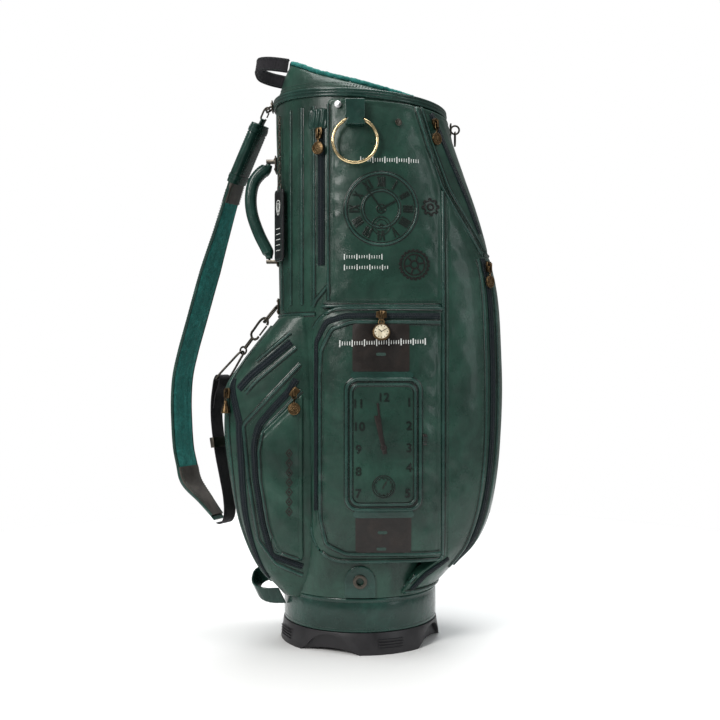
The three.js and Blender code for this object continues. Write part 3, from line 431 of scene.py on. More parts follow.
def spline(points, count):
    """Evenly spaced points on a centripetal Catmull-Rom curve."""
    p = np.asarray(points, float)
    p = np.concatenate([[2 * p[0] - p[1]], p, [2 * p[-1] - p[-2]]])
    fine = []
    for a, b, c, d in zip(p[:-3], p[1:-2], p[2:-1], p[3:]):
        t0 = 0
        t1 = t0 + np.linalg.norm(b - a) ** 0.5
        t2 = t1 + np.linalg.norm(c - b) ** 0.5
        t3 = t2 + np.linalg.norm(d - c) ** 0.5
        t = np.linspace(t1, t2, 24, endpoint=False)[:, None]
        ab = (t1 - t) / (t1 - t0) * a + (t - t0) / (t1 - t0) * b
        bc = (t2 - t) / (t2 - t1) * b + (t - t1) / (t2 - t1) * c
        cd = (t3 - t) / (t3 - t2) * c + (t - t2) / (t3 - t2) * d
        abc = (t2 - t) / (t2 - t0) * ab + (t - t0) / (t2 - t0) * bc
        bcd = (t3 - t) / (t3 - t1) * bc + (t - t1) / (t3 - t1) * cd
        fine.append((t2 - t) / (t2 - t1) * abc + (t - t1) / (t2 - t1) * bcd)
    fine = np.concatenate(fine + [p[-2:-1]])
    reach = np.concatenate([[0], np.cumsum(np.linalg.norm(np.diff(fine, axis=0), axis=1))])
    at = np.linspace(0, reach[-1], count)
    return np.stack([np.interp(at, reach, fine[:, k]) for k in range(3)], 1)


def tangents(p, closed=False):
    if closed:
        return unit(np.roll(p, -1, 0) - np.roll(p, 1, 0))
    return unit(np.gradient(p, axis=0))


def blurred(n, width=5, closed=False):
    if len(n) <= width:
        return n
    pad = width // 2
    wide = np.concatenate([n[-pad:], n,
                           n[:pad]]) if closed else np.concatenate([n[:1]] * pad + [n] + [n[-1:]] * pad)
    return unit(np.stack([np.convolve(wide[:, k], np.ones(width) / width, "valid") for k in range(3)], 1))


def round_section(r, sides=8):
    a = full_turn(sides)
    return np.stack([r * np.cos(a), r * np.sin(a)], 1)


def flat_section(width, thick, crown=0.0, foot=-0.6):
    w = width / 2
    return np.array([[-w, foot], [-w, thick * 0.7], [-w + thick * 0.4, thick], [0, thick + crown],
                     [w - thick * 0.4, thick], [w, thick * 0.7], [w, foot]])


def oval_section(width, thick, power=3.2, sides=28):
    a = (np.arange(sides) + 0.5) / sides * 2 * math.pi
    r = (np.abs(np.cos(a)) ** power + np.abs(np.sin(a)) ** power) ** (-1 / power)
    return np.stack([r * np.cos(a) * width / 2, r * np.sin(a) * thick / 2], 1)


def swept(p, n, section, closed=False, scales=None):
    """A closed section carried along a path. n is the section's up direction at each point."""
    t = tangents(p, closed)
    n = unit(n - t * np.sum(n * t, -1, keepdims=True))
    b = np.cross(t, n)
    s = np.asarray(section, float)[None]
    if scales is not None:
        s = s * scales[:, None, :]
    verts = p[:, None] + b[:, None] * s[..., :1] + n[:, None] * s[..., 1:]
    rows, cols = len(p), verts.shape[1]
    faces = grid(rows, cols, True)
    if closed:
        a = (rows - 1) * cols + np.arange(cols)
        c = np.arange(cols)
        faces = np.concatenate([faces, np.stack([a, np.roll(a, -1), np.roll(c, -1), c], 1)])
        return verts.reshape(-1, 3), [faces]
    caps = np.stack([np.arange(cols)[::-1], (rows - 1) * cols + np.arange(cols)])
    return verts.reshape(-1, 3), [faces, caps]


def wire(points, r, sides=12, closed=False):
    """Round wire: its frame is carried along without twisting."""
    p = np.asarray(points, float)
    t = tangents(p, closed)
    n = [unit(np.cross(t[0], (0.31, 0.22, 0.93) if abs(t[0][2]) < 0.9 else (1, 0.1, 0)))]
    for k in range(1, len(p)):
        n.append(unit(n[-1] - t[k] * np.dot(n[-1], t[k])))
    return swept(p, np.array(n), round_section(r, sides), closed)


def capsule(length, r):
    """A short rounded rod along +X, as a template for a stitch or a zip tooth."""
    rings = [(-0.5, 0.3), (-0.36, 0.85), (0, 1), (0.36, 0.85), (0.5, 0.3)]
    a = full_turn(6)
    verts = [[x * length, r * k * math.cos(q), r * k * math.sin(q)] for x, k in rings for q in a]
    return np.array(verts), [grid(5, 6, True), np.array([range(5, -1, -1), range(24, 30)])]


def scattered(parts, p, t, n, template, turn=0.0):
    """Copies of a template along a path. Its X follows the path, turned by an angle, and its Z is up."""
    verts, faces = template
    t = unit(t - n * np.sum(n * t, -1, keepdims=True))
    b = np.cross(n, t)
    t, b = t * math.cos(turn) + b * math.sin(turn), b * math.cos(turn) - t * math.sin(turn)
    made = (p[:, None] + t[:, None] * verts[None, :, :1] + b[:, None] * verts[None, :, 1:2]
            + n[:, None] * verts[None, :, 2:])
    steps = np.arange(len(p)) * len(verts)
    parts.add(made, *[(f[None] + steps[:, None, None]).reshape(-1, f.shape[1]) for f in faces])


def ripples(seed, wavelength, count=14):
    """Smooth repeatable noise about 0, from crossed waves of nearly one length."""
    rng = np.random.default_rng(seed)
    k = unit(rng.normal(size=(count, 3))) * (2 * math.pi / wavelength * rng.uniform(0.6, 1.5, (count, 1)))
    phase = rng.uniform(0, 2 * math.pi, count)
    return lambda p: np.sin(p @ k.T + phase).sum(-1) / count ** 0.5


# ------------------------------------------------------------------ the bag's envelope
def through(points):
    xs, ys = np.array(points, float).T
    ends = np.arange(len(xs))
    before, after = np.maximum(ends - 1, 0), np.minimum(ends + 1, len(xs) - 1)
    slope = (ys[after] - ys[before]) / (xs[after] - xs[before])

    def at(x):
        x = np.clip(np.asarray(x, float), xs[0], xs[-1])
        i = np.clip(np.searchsorted(xs, x) - 1, 0, len(xs) - 2)
        h = xs[i + 1] - xs[i]
        t = (x - xs[i]) / h
        return ((2 * t**3 - 3 * t**2 + 1) * ys[i] + (t**3 - 2 * t**2 + t) * h * slope[i]
                + (3 * t**2 - 2 * t**3) * ys[i + 1] + (t**3 - t**2) * h * slope[i + 1])
    return at


spine_reach = through([[80, 115.5], [800, 129]])
side_reach = through([[80, 115.5], [800, 120]])
front_reach = through([[84, 116], [118, 148], [154, 181], [222, 202], [317, 212], [400, 213], [492, 209],
                       [560, 199], [645, 176], [700, 158], [751, 141], [790, 133]])
front_squareness = through([[84, 2.2], [150, 2.7], [250, 3.3], [500, 3.3], [650, 2.7], [790, 2.2]])
rear_reach = through([[70, 114], [111, 150], [155, 172], [211, 189], [300, 202], [350, 203], [378, 202],
                      [394, 194], [440, 158], [487, 118]])
rear_half_width = through([[70, 80], [110, 91], [180, 97], [400, 97], [487, 95]])
SIDE_BOX = (-67, 117.4, 138, 494)
PANEL_BOX = (-46, 117.4, 503, 792)


MOUTH_Z = 800  # where the mouth's outline is taken


def super_radius(angle, rx, ry, power):
    return (np.abs(np.cos(angle) / rx) ** power + np.abs(np.sin(angle) / ry) ** power) ** (-1 / power)


def tube_radius(angle, z):
    return super_radius(angle, spine_reach(z), side_reach(z), 2.1)


def front_radius(angle, z):
    bulge = super_radius(angle, front_reach(z), side_reach(z) + 3, front_squareness(z))
    least = tube_radius(angle, z) + 4
    return np.where(np.cos(angle) > 0, np.maximum(least, bulge), least)


def rear_radius(angle, z):
    bulge = super_radius(angle, rear_reach(z), rear_half_width(z), 5)
    return np.where(np.cos(angle) < 0, bulge, tube_radius(angle, z) - 3)


def swollen(limits, edge, rise):
    x0, x1, z0, z1 = limits

    def radius(angle, z):
        base = front_radius(angle, z) + edge
        across = (2 * base * np.cos(angle) - x0 - x1) / (x1 - x0)
        up = (2 * z - z0 - z1) / (z1 - z0)
        return base + rise * (1 - np.minimum(1, np.abs(across)) ** 3) * (1 - np.minimum(1, np.abs(up)) ** 4)
    return radius


def seam_z(x):
    return 799 - 0.07 * x


def mouth_radius(angle):
    return tube_radius(angle, MOUTH_Z)


def cuff_seam(angle):
    """Height of the seam between tube and cuff."""
    return seam_z(mouth_radius(angle) * np.cos(angle))


def polar(angle, r, z):
    return np.stack([r * np.cos(angle), r * np.sin(angle), z + 0 * r], -1)


def side_point(radius, x, z, side=NEAR):
    """The point above (x, z) on a side of the bag, and the outward normal there."""
    def depth(x, z):
        low, high = np.full(x.shape, -math.pi + 1e-4), np.full(x.shape, -1e-4)
        for _ in range(30):
            middle = (low + high) / 2
            short = radius(middle, z) * np.cos(middle) < x
            low, high = np.where(short, middle, low), np.where(short, high, middle)
        return radius(low, z) * np.sin(low)
    x, z = np.asarray(x, float), np.asarray(z, float)
    y = depth(x, z)
    slope_x = (depth(x + 0.8, z) - depth(x - 0.8, z)) / 1.6
    slope_z = (depth(x, z + 1.5) - depth(x, z - 1.5)) / 3
    n = unit(np.stack([slope_x, -np.ones_like(x), slope_z], -1))
    p = np.stack([x, y, z], -1)
    flip = np.array([1, -side, 1])
    return p * flip, n * flip


def quarter(d, r):
    """Height of a rounded edge of radius r at distance d in from it."""
    t = np.clip(d / r, 0, 1)
    return r * (np.sqrt(np.clip(1 - (1 - t) ** 2, 0, 1)) - 1)


# ------------------------------------------------------------------ skins
skins = []  # [vertices, faces] of every outer leather face, for laying trim on


def edge_distance(points, outline):
    a, b = outline, np.roll(outline, -1, 0)
    ab = b - a
    best = np.full(len(points), 1e9)
    for start in range(0, len(points), 4000):
        q = points[start:start + 4000, None]
        t = np.clip(np.sum((q - a) * ab, -1) / np.maximum(np.sum(ab * ab, -1), 1e-9), 0, 1)
        best[start:start + 4000] = np.linalg.norm(q - (a + t[..., None] * ab), axis=-1).min(1)
    return best


RINGS = 1 - np.concatenate([[0, 0.004, 0.01, 0.018, 0.03, 0.045, 0.065, 0.09], np.linspace(0.12, 1, 42)])


def panel(name, outline, radius, side, centre, edge=3.0, puff=1.5, wrinkle=0.8, seed=1, nodes=(), depth=5.0):
    """A padded leather panel on a side of the bag, inside an outline of [x, z] corners."""
    outline = resample(soften(outline, 3, True), 3.5, True)
    centre = np.asarray(centre, float)
    plan = centre + RINGS[:, None, None] * (outline - centre)
    flat = plan.reshape(-1, 2)
    d = edge_distance(flat, outline)
    p, n = side_point(radius, flat[:, 0], flat[:, 1], side)
    long, short = ripples(seed, 90), ripples(seed + 50, 26)
    near_edge = np.exp(-((d - 16) / 15) ** 2)
    lift = (quarter(d, edge) - 0.8 * np.exp(-((d - 6.5) / 1.6) ** 2)
            + puff * (1 - np.exp(-(d / 28) ** 2)) + wrinkle * np.clip(d / 10, 0, 1) * (
                0.55 * long(p) + near_edge * 0.5 * short(p)))
    verts = p + n * lift[:, None]
    skirt = verts[:len(outline)] - n[:len(outline)] * depth
    cols = len(outline)
    faces = [grid(len(RINGS), cols, True), grid(2, cols, True)]
    made = Parts().add(verts, faces[0])
    made.add(np.concatenate([skirt, verts[:cols]]), faces[1])
    skins.append((verts, faces[0]))
    return from_parts(name, made, M["hide"], nodes=nodes)


def wrapped(name, radius, edge_x, z_low, z_high, seed, nodes, puff=1.0, wrinkle=0.8, up=150, sink=4.0):
    """A padded wrap over the front. edge_x(z) is where its side edges lie, and the other two its low and
    high edges at each x."""
    across = 170

    def edge_angle(z):
        low, high = np.full(z.shape, 1e-3), np.full(z.shape, math.pi - 1e-3)
        for _ in range(30):
            middle = (low + high) / 2
            far = radius(middle, z) * np.cos(middle) > edge_x(z)
            low, high = np.where(far, middle, low), np.where(far, high, middle)
        return low

    u = np.sin(np.linspace(-1, 1, across) * math.pi / 2 * 0.86) / math.sin(math.pi / 2 * 0.86)
    v = np.linspace(0, 1, up)
    v = v - 0.06 * np.sin(2 * math.pi * v) * 0.6
    uu, vv = np.meshgrid(u, v)
    z = z_low(200 + 0 * uu) + (z_high(200 + 0 * uu) - z_low(200 + 0 * uu)) * vv
    for _ in range(14):
        angle = uu * edge_angle(z)
        x = radius(angle, z) * np.cos(angle)
        z = z_low(x) + (z_high(x) - z_low(x)) * vv
    angle = uu * edge_angle(z)
    p = polar(angle, radius(angle, z), z)
    du = (1 - np.abs(uu)) * edge_angle(z) * radius(angle, z)
    d = np.minimum(np.minimum(du, z - z_low(x)), z_high(x) - z)
    out = unit(np.stack([np.cos(angle), np.sin(angle), 0 * z], -1))
    long, short = ripples(seed, 120), ripples(seed + 50, 30)
    near_edge = np.exp(-((d - 18) / 17) ** 2)
    lift = (quarter(d, 3.0) - 0.8 * np.exp(-((d - 7) / 1.7) ** 2) + puff * (1 - np.exp(-(d / 30) ** 2))
            + wrinkle * np.clip(d / 10, 0, 1) * (0.6 * long(p) + near_edge * 0.5 * short(p)) - 0.3)
    verts = p + out * lift[..., None]
    sunk = np.concatenate([verts[:1] - out[:1] * sink, verts, verts[-1:] - out[-1:] * sink])
    outs = np.concatenate([out[:1], out, out[-1:]])
    sunk = np.concatenate([sunk[:, :1] - outs[:, :1] * sink, sunk, sunk[:, -1:] - outs[:, -1:] * sink], 1)
    faces = grid(up + 2, across + 2)
    skins.append((verts.reshape(-1, 3), grid(up, across)))
    return piece(name, sunk.reshape(-1, 3), [faces], M["hide"], nodes=nodes)


def body_shell():
    """The hide tube itself, seen between the pockets, with the soft dents of hide over a stiff liner."""
    around, up = 260, 170
    angle = full_turn(around)
    share = np.linspace(0, 1, up)[:, None]
    top = cuff_seam(angle) - 0.5
    z = 80.5 + share * (top - 80.5)
    aa = angle + 0 * z
    p = polar(aa, tube_radius(aa, z), z)
    r = tube_radius(aa, z) + 0.25 * ripples(3, 110)(p)
    p = polar(aa, r, z)
    inner = polar(angle, tube_radius(angle, 80) - 2.6, np.full(around, 80.5))[None]
    lip = polar(angle, mouth_radius(angle) - 2.6, top)[None]
    verts = np.concatenate([inner, p, lip])
    skins.append((p.reshape(-1, 3), grid(up, around, True)))
    return piece("shell_hide", verts.reshape(-1, 3), [grid(up + 2, around, True)], M["hide"],
                 nodes=("body_shell",))


def rear_pocket():
    """The deep ball pocket on the spine side."""
    across, up = 190, 150
    share = np.linspace(-1, 1, across)
    angle = math.pi + np.sign(share) * np.abs(share) ** 1.15 * math.radians(64)
    z = np.linspace(72.5, 484, up)[:, None] + 0 * angle
    aa = angle + 0 * z
    r = rear_radius(aa, z)
    p = polar(aa, r, z)
    d = np.minimum(z - 72, 484.5 - z)
    long, short = ripples(71, 110), ripples(72, 32)
    lift = (quarter(d, 4) + 0.9 * (0.55 * long(p) + 0.5 * np.exp(-((np.abs(p[...,
                                                                             0] + 96) - 30) / 18) ** 2) * short(p)))
    lift = np.where(r < tube_radius(aa, z) + 1.5, -1.5, lift)
    verts = polar(aa, r + lift, z)
    top = polar(angle, tube_radius(angle, 484) - 1.5, np.full(across, 486.0))[None]
    low = polar(angle, tube_radius(angle, 84) - 8, np.full(across, 73.0))[None]
    verts = np.concatenate([low, verts, top])
    skins.append((verts.reshape(-1, 3), grid(up + 2, across)))
    return piece("rear_pocket_hide", verts.reshape(-1, 3), [grid(up + 2, across)], M["hide"],
                 nodes=("rear_pocket",))


def base_collar():
    """A leather collar sewn round the tube's foot, with two shallow channels."""
    around = 240
    angle = full_turn(around)
    section = [(-3, 31.3), (-0.6, 31.3), (0, 32.2), (0.2, 34.5), (-0.5, 36), (0.3, 38), (0.5, 55),
               (0.3, 72.5),
               (-0.5, 74.5), (0.2, 76.5), (0, 79), (-0.8, 79.6), (-3, 79.6)]
    rows = [polar(angle, np.full(around, 115.5 + r), np.full(around, z)) for r, z in section]
    verts = np.stack(rows)
    skins.append((verts.reshape(-1, 3), grid(len(section), around, True)))
    return piece("collar_hide", verts.reshape(-1, 3), [grid(len(section), around, True)], M["hide_shiny"],
                 nodes=("base_collar",))


cuff_lean = through([[-1, 17], [-0.5, 12], [0, 8], [1, 11]])
wing_height = through([[-112, 871], [-85, 852], [-55, 836], [0, 819], [60, 806], [118, 798]])


def rim_radius(angle):
    return mouth_radius(angle) - cuff_lean(np.cos(angle))


def rim_z(angle):
    from_spine = np.abs(np.arctan2(np.sin(angle), -np.cos(angle)))
    t = np.clip((from_spine - math.radians(15)) / math.radians(7.5), 0, 1)
    share = t * t * (3 - 2 * t)
    wing = wing_height(rim_radius(angle) * np.cos(angle))
    return np.minimum(wing, 839) * (1 - share) + wing * share


def ring_piece(name, profile, material, slot="leather_green", nodes=(), around=300, rough=None):
    """A closed band round the tube. profile(angle) gives [radius, z] pairs of its section."""
    angle = full_turn(around)
    rows = [polar(angle, r, z) for r, z in profile(angle)]
    verts = np.stack(rows, 1)
    if rough:
        seed, wavelength, amount = rough
        centre = verts.mean(1, keepdims=True)
        verts = verts + unit(verts - centre) * (amount * ripples(seed, wavelength)(verts))[..., None]
    cols = verts.shape[1]
    faces = grid(around, cols, True)
    last = (around - 1) * cols + np.arange(cols)
    first = np.arange(cols)
    faces = np.concatenate([faces, np.stack([last, np.roll(last, -1), np.roll(first, -1), first], 1)])
    return piece(name, verts.reshape(-1, 3), [faces], M[material], slot=slot, nodes=nodes)


def cuff_section(angle):
    low = cuff_seam(angle) + 0.5
    top = rim_z(angle) - 5
    r0, r1 = mouth_radius(angle), rim_radius(angle)
    outer = [(r0 + (r1 - r0) * t + 2.5 * math.sin(math.pi * t), low + (top - low) * t) for t in np.linspace(0,
                                                                                                            1, 13)]
    inner = [(r0 + (r1 - r0) * t - 5 + 2.2 * math.sin(math.pi * (1 - t)) * 0.4, low + (top - low) * t)
             for t in np.linspace(1, 0, 9)]
    return outer + inner


def band_section(angle):
    z = cuff_seam(angle)
    r = mouth_radius(angle) + 0.3
    return [(r + 0.4, z - 6), (r + 2.6, z - 6), (r + 3.4, z - 5.2), (r + 3.5, z - 3.4), (r + 2.8, z - 2.4),
            (r + 3.6, z - 1),
            (r + 3.9, z), (r + 3.6, z + 1), (r + 2.8, z + 2.4), (r + 3.4, z + 3.4), (r + 3.2, z + 5.2),
            (r + 2.4, z + 6),
            (r + 0.4, z + 6)]


def roll_section(angle):
    r, z = rim_radius(angle) - 3.2, rim_z(angle) - 1.3
    return [(r + 3.4 * math.cos(q), z + 3.4 * math.sin(q)) for q in full_turn(14)]


# ------------------------------------------------------------------ soft pieces made from their CAD solids
def soft_copy(name, node, material, voxel=1.6, smooth=6, rough=None):
    """A rounded, slightly uneven form in the space of a small CAD solid."""
    source = frame["nodes"][node]
    mesh = source.data.copy()
    obj = bpy.data.objects.new(name, mesh)
    scene.collection.objects.link(obj)
    made = bmesh.new()
    made.from_mesh(mesh)
    bmesh.ops.remove_doubles(made, verts=made.verts, dist=2e-6)
    made.to_mesh(mesh)
    made.free()
    remesh = obj.modifiers.new("remesh", "REMESH")
    remesh.mode, remesh.voxel_size = "VOXEL", voxel * MM
    relax = obj.modifiers.new("relax", "SMOOTH")
    relax.factor, relax.iterations = 0.5, smooth
    graph = bpy.context.evaluated_depsgraph_get()
    done = bpy.data.meshes.new_from_object(obj.evaluated_get(graph))
    obj.modifiers.clear()
    obj.data = done
    if rough:
        seed, wavelength, amount = rough
        co = np.zeros(len(done.vertices) * 3, np.float32)
        done.vertices.foreach_get("co", co)
        co = co.reshape(-1, 3)
        normals = np.zeros(len(done.vertices) * 3, np.float32)
        done.vertices.foreach_get("normal", normals)
        lift = ripples(seed, wavelength)(co / MM)[:, None] * amount * MM
        done.vertices.foreach_set("co", (co + normals.reshape(-1, 3) * lift).astype(np.float32).ravel())
        done.update()
    return settle(obj, M[material], "bag", (node,), 180)


def crisp(node, material, bevel=0.35):
    """A CAD node that keeps its shape: it gets a material, and its edges are eased."""
    obj = frame["nodes"][node]
    obj.data.materials.clear()
    obj.data.materials.append(M[material])
    weld = obj.modifiers.new("weld", "WELD")
    weld.merge_threshold = 2e-6
    ease = obj.modifiers.new("ease", "BEVEL")
    ease.width, ease.segments, ease.limit_method, ease.angle_limit = bevel * MM, 2, "ANGLE", math.radians(34)
    obj.data.shade_smooth()
    obj.data.set_sharp_from_angle(angle=math.radians(40))


# ------------------------------------------------------------------ laying trim on the skins
SIDE_START, ROUND_START = 400, 500  # how far out the rays start


class Skin:
    """Rays dropped on all the leather faces at once."""

    def __init__(self):
        verts, polygons, count = [], [], 0
        for v, f in skins:
            verts.append(v)
            polygons += (f + count).tolist()
            count += len(v)
        self.tree = BVHTree.FromPolygons(np.concatenate(verts).tolist(), polygons)

    def cast(self, start, direction):
        hit, normal, *_ = self.tree.ray_cast(Vector(start), Vector(direction))
        if hit is None:
            return None
        if normal.dot(Vector(direction)) > 0:
            normal = -normal
        return np.array(hit), np.array(normal)

    def drop(self, x, z, side):
        """Where a level ray from the side first meets leather."""
        return self.cast((x, side * SIDE_START, z), (0, -side, 0))

    def beside(self, points, side=NEAR, step=3.0, closed=False, width=7):
        """[x, z] points dropped on a side: places and outward normals along the line."""
        line = resample(points, step, closed) if step else np.asarray(points, float)
        return self.laid([self.drop(x, z, side) for x, z in line], closed, width)

    def around(self, points, step=0.02):
        """[angle, z] points dropped towards the axis."""
        found = []
        for angle, z in resample(np.asarray(points, float) * (1, 0.01), step) * (1, 100):
            out = np.array([math.cos(angle), math.sin(angle), 0])
            found.append(self.cast(out * ROUND_START + (0, 0, z), -out))
        return self.laid(found)

    def laid(self, found, closed=False, width=7):
        found = [f for f in found if f is not None]
        p, n = np.array([f[0] for f in found]), np.array([f[1] for f in found])
        return p, blurred(n, width, closed)


TOOTH = capsule(3.4, 0.62)
STITCH = capsule(2.7, 0.42)


def walk(p, n, pitch, closed=False):
    """Evenly spaced stations along a laid line."""
    both = resample(np.concatenate([p, n], 1) * np.array([1, 1, 1, 0.01, 0.01, 0.01]), pitch, closed)
    p, n = both[:, :3], unit(both[:, 3:] * 100)
    return p, tangents(p, closed), n


def sew(parts, p, n, pitch):
    scattered(parts, *walk(p, n, pitch), STITCH)


class Trim:
    """Piping, tapes, teeth and thread gathered into a few meshes."""

    def __init__(self):
        self.groups = {}

    def parts(self, key):
        return self.groups.setdefault(key, Parts())

    def pipe(self, line, r=1.9, key="piping", lift=0.2, closed=False):
        p, n = line
        if len(p) > 3:
            self.parts(key).lay(swept(p + n * lift * r, n, round_section(1.15 * r, 10), closed))
            # every piping gets a band of the near-black leather under it, a little wider than the pipe: painted
            # shadow along both its sides
            if key == "piping":
                self.parts("emboss").lay(swept(p + n * 0.1, n, flat_section(2.3 * r + 2.8, 0.5, 0.0, -0.7),
                                               closed))

    def tape(self, line, width, thick):
        p, n = line
        if len(p) > 3:
            self.parts("navy").lay(swept(p, n, flat_section(width, thick)))

    def thread(self, line, pitch=4.0, key="thread", offset=0.0, closed=False):
        p, t, n = walk(*line, pitch, closed)
        if len(p) < 4:
            return
        b = np.cross(n, t)
        scattered(self.parts(key), p + b * offset + n * 0.15, t, n, STITCH)

    def zip(self, line, width=13, lift=0.0):
        """A nylon zip: its two woven tapes, the coil between them, and a seam along each side."""
        p, n = line
        if len(p) < 4:
            return
        line = (p + n * lift, n)
        self.tape(line, width, 0.9)
        p, t, n = walk(*line, 1.7)
        b = np.cross(n, t)
        for half in (0, 1):
            shift = -0.55 if half else 0.55
            scattered(self.parts("coil"), p[half::2] + n[half::2] * 1.25 + b[half::2] * shift, t[half::2],
                      n[half::2],
                      TOOTH, math.pi / 2 + 0.12 * (1 - 2 * half))
        for edge in (-1, 1):
            self.thread((line[0] + line[1] * 0.9, line[1]), 3.6, "thread",
                        edge * (width / 2 - 1.6))

    def make(self):
        slots = {"navy": "webbing_black", "coil": "webbing_black", "webbing": "webbing_black",
                 "brass": "antique_brass",
                 "gold": "antique_brass"}
        for key, parts in self.groups.items():
            from_parts("trim_" + key, parts, M[key], slot=slots.get(key, "leather_green"))


def rounded_box(x0, x1, z0, z1, r, corners=(1, 1, 1, 1), steps=7):
    """An outline with rounded corners: low left, low right, high right, high left."""
    made = []
    for (cx, cz, start), on in zip(((x0, z0, 180), (x1, z0, 270), (x1, z1, 0), (x0, z1, 90)), corners):
        q = r if on else 0.01
        centre = (cx + q if cx == x0 else cx - q, cz + q if cz == z0 else cz - q)
        for k in range(steps):
            a = math.radians(start + 90 * k / (steps - 1))
            made.append((centre[0] + q * math.cos(a), centre[1] + q * math.sin(a)))
    return made


def circle(x, z, r, count=64):
    a = full_turn(count)
    return np.stack([x + r * np.cos(a), z + r * np.sin(a)], 1)


# ------------------------------------------------------------------ watch motifs on the panels
def plate(skin, parts, outline, centre, side, lift, thick=0.5, rings=7, step=2.5):
    """A thin applied shape that follows the hide under it."""
    outline = resample(np.asarray(outline, float), step, True)
    cols = len(outline)
    rows = []
    for share in np.linspace(1, 0.02, rings):
        p, n = skin.beside(np.asarray(centre) + (outline - centre) * share, side, 0, True, 9)
        if len(p) != cols:
            return
        rows.append(p + n * (lift + thick))
        if share == 1:
            rows.insert(0, p + n * (lift - 0.8))
            rows[1] = rows[1] - n * thick * 0.3
    parts.add(np.stack(rows), grid(len(rows), cols, True))


def stroke(skin, parts, points, side, width, lift=0.5, closed=False, step=2.0, thick=0.45):
    p, n = skin.beside(points, side, step, closed, 5)
    if len(p) > 2:
        parts.lay(swept(p + n * lift, n, flat_section(width, thick, 0.0, -lift - 0.4), closed))


ROMAN = {"I": [((0, -1), (0, 1), 1)], "V": [((-0.42, 1), (0, -1), 1), ((0.42, 1), (0, -1), 0.55)],
         "X": [((-0.42, 1), (0.42, -1), 1), ((0.42, 1), (-0.42, -1), 0.55)]}
ROMAN_WIDTH = {"I": 0.55, "V": 1.25, "X": 1.25}
HOURS = ["XII", "I", "II", "III", "IIII", "V", "VI", "VII", "VIII", "IX", "X", "XI"]


def roman_dial(skin, trim, side, x, z, outer):
    """A dial pressed into the panel: two rings, roman hours, a ring of minutes and a small seconds dial."""
    mirror = -side
    # the dial's strokes use the near-black leather: painted shade that stands in for the shadows of the relief
    ring_parts = trim.parts("emboss")
    for r, width in ((outer, 1.7), (outer * 0.925, 1.0), (outer * 0.53, 1.1), (outer * 0.12, 1.6)):
        stroke(skin, ring_parts, circle(x, z, r, 90), side, width, 0.45, True)
    for share, r in ((0.965, 1.5), (0.5, 1.0)):
        trim.pipe(skin.beside(circle(x, z, outer * share, 110), side, 2.5, True), r, "piping", 0.1, True)
    for k in range(60):
        a = math.radians(6 * k)
        r0, r1 = outer * 0.935, outer * (0.985 if k % 5 else 1.0)
        stroke(skin, ring_parts, [(x + r * math.sin(a), z + r * math.cos(a)) for r in (r0, (r0 + r1) / 2,
                                                                                       r1)], side, 0.8,
               0.45, False, 1.2)
    low, high = outer * 0.57, outer * 0.88
    for hour, text in enumerate(HOURS):
        a = math.radians(30 * hour)
        half = (high - low) / 2
        total = sum(ROMAN_WIDTH[c] for c in text)
        size = half * min(1, 1.9 / total * 0.95)
        at = -total / 2
        for c in text:
            for (u0, v0), (u1, v1), bold in ROMAN[c]:
                ends = []
                for u, v in ((u0, v0), ((u0 + u1) / 2, (v0 + v1) / 2), (u1, v1)):
                    across, up = (at + ROMAN_WIDTH[c] / 2 + u) * size * 0.8, (low + high) / 2 + v * half * 0.88
                    ends.append((x + (up * math.sin(a) + across * math.cos(a)) * mirror,
                                 z + up * math.cos(a) - across * math.sin(a)))
                stroke(skin, ring_parts, ends, side, 2.7 * bold, 0.7, False, 2.0)
            at += ROMAN_WIDTH[c]
    sub_z = z - outer * 0.46
    for r, width in ((outer * 0.245, 1.2), (outer * 0.17, 0.8), (outer * 0.05, 1.4)):
        stroke(skin, ring_parts, circle(x, sub_z, r, 40), side, width, 0.75, True)
    for angle, reach, width in ((-35, 0.62, 2.2), (62, 0.46, 2.6)):
        a = math.radians(angle)
        line = [(x + r * math.sin(a) * mirror, z + r * math.cos(a)) for r in np.linspace(-0.08, reach,
                                                                                         8) * outer]
        stroke(skin, ring_parts, line, side, width, 0.85)


def gear(skin, parts, side, x, z, r, teeth, depth, hole, spokes=0, width=1.3, turn=0.0):
    """The outline of a toothed wheel."""
    rim = []
    for k in range(teeth):
        for share, reach in ((0.0, r), (0.28, r), (0.36, r - depth), (0.86, r - depth), (0.96, r)):
            a = (k + share) / teeth * 2 * math.pi + turn
            rim.append((x + reach * math.cos(a), z + reach * math.sin(a)))
    stroke(skin, parts, rim, side, width, 0.45, True, 0.9)
    stroke(skin, parts, circle(x, z, hole, 36), side, width, 0.45, True, 1.2)
    if spokes:
        stroke(skin, parts, circle(x, z, (r - depth) * 0.78, 60), side, width * 0.8, 0.45, True, 1.6)
    for k in range(spokes):
        a = k / spokes * 2 * math.pi + turn
        line = [(x + q * math.cos(a), z + q * math.sin(a)) for q in np.linspace(hole, (r - depth) * 0.78, 4)]
        stroke(skin, parts, line, side, width, 0.45)


def tick_row(skin, parts, side, x0, x1, z0, z1, height, lift=0.35):
    """A row of minute marks, every fifth one taller."""
    count = int(abs(x1 - x0) / 3.4)
    for k in range(count + 1):
        share = k / count
        x, z = x0 + (x1 - x0) * share, z0 + (z1 - z0) * share
        tall = height if k % 5 == 0 else height * 0.55
        stroke(skin, parts, [(x, z - tall / 2), (x, z), (x, z + tall / 2)], side, 1.1 if k % 5 else 1.5, lift,
               False, 1.5, 0.25)


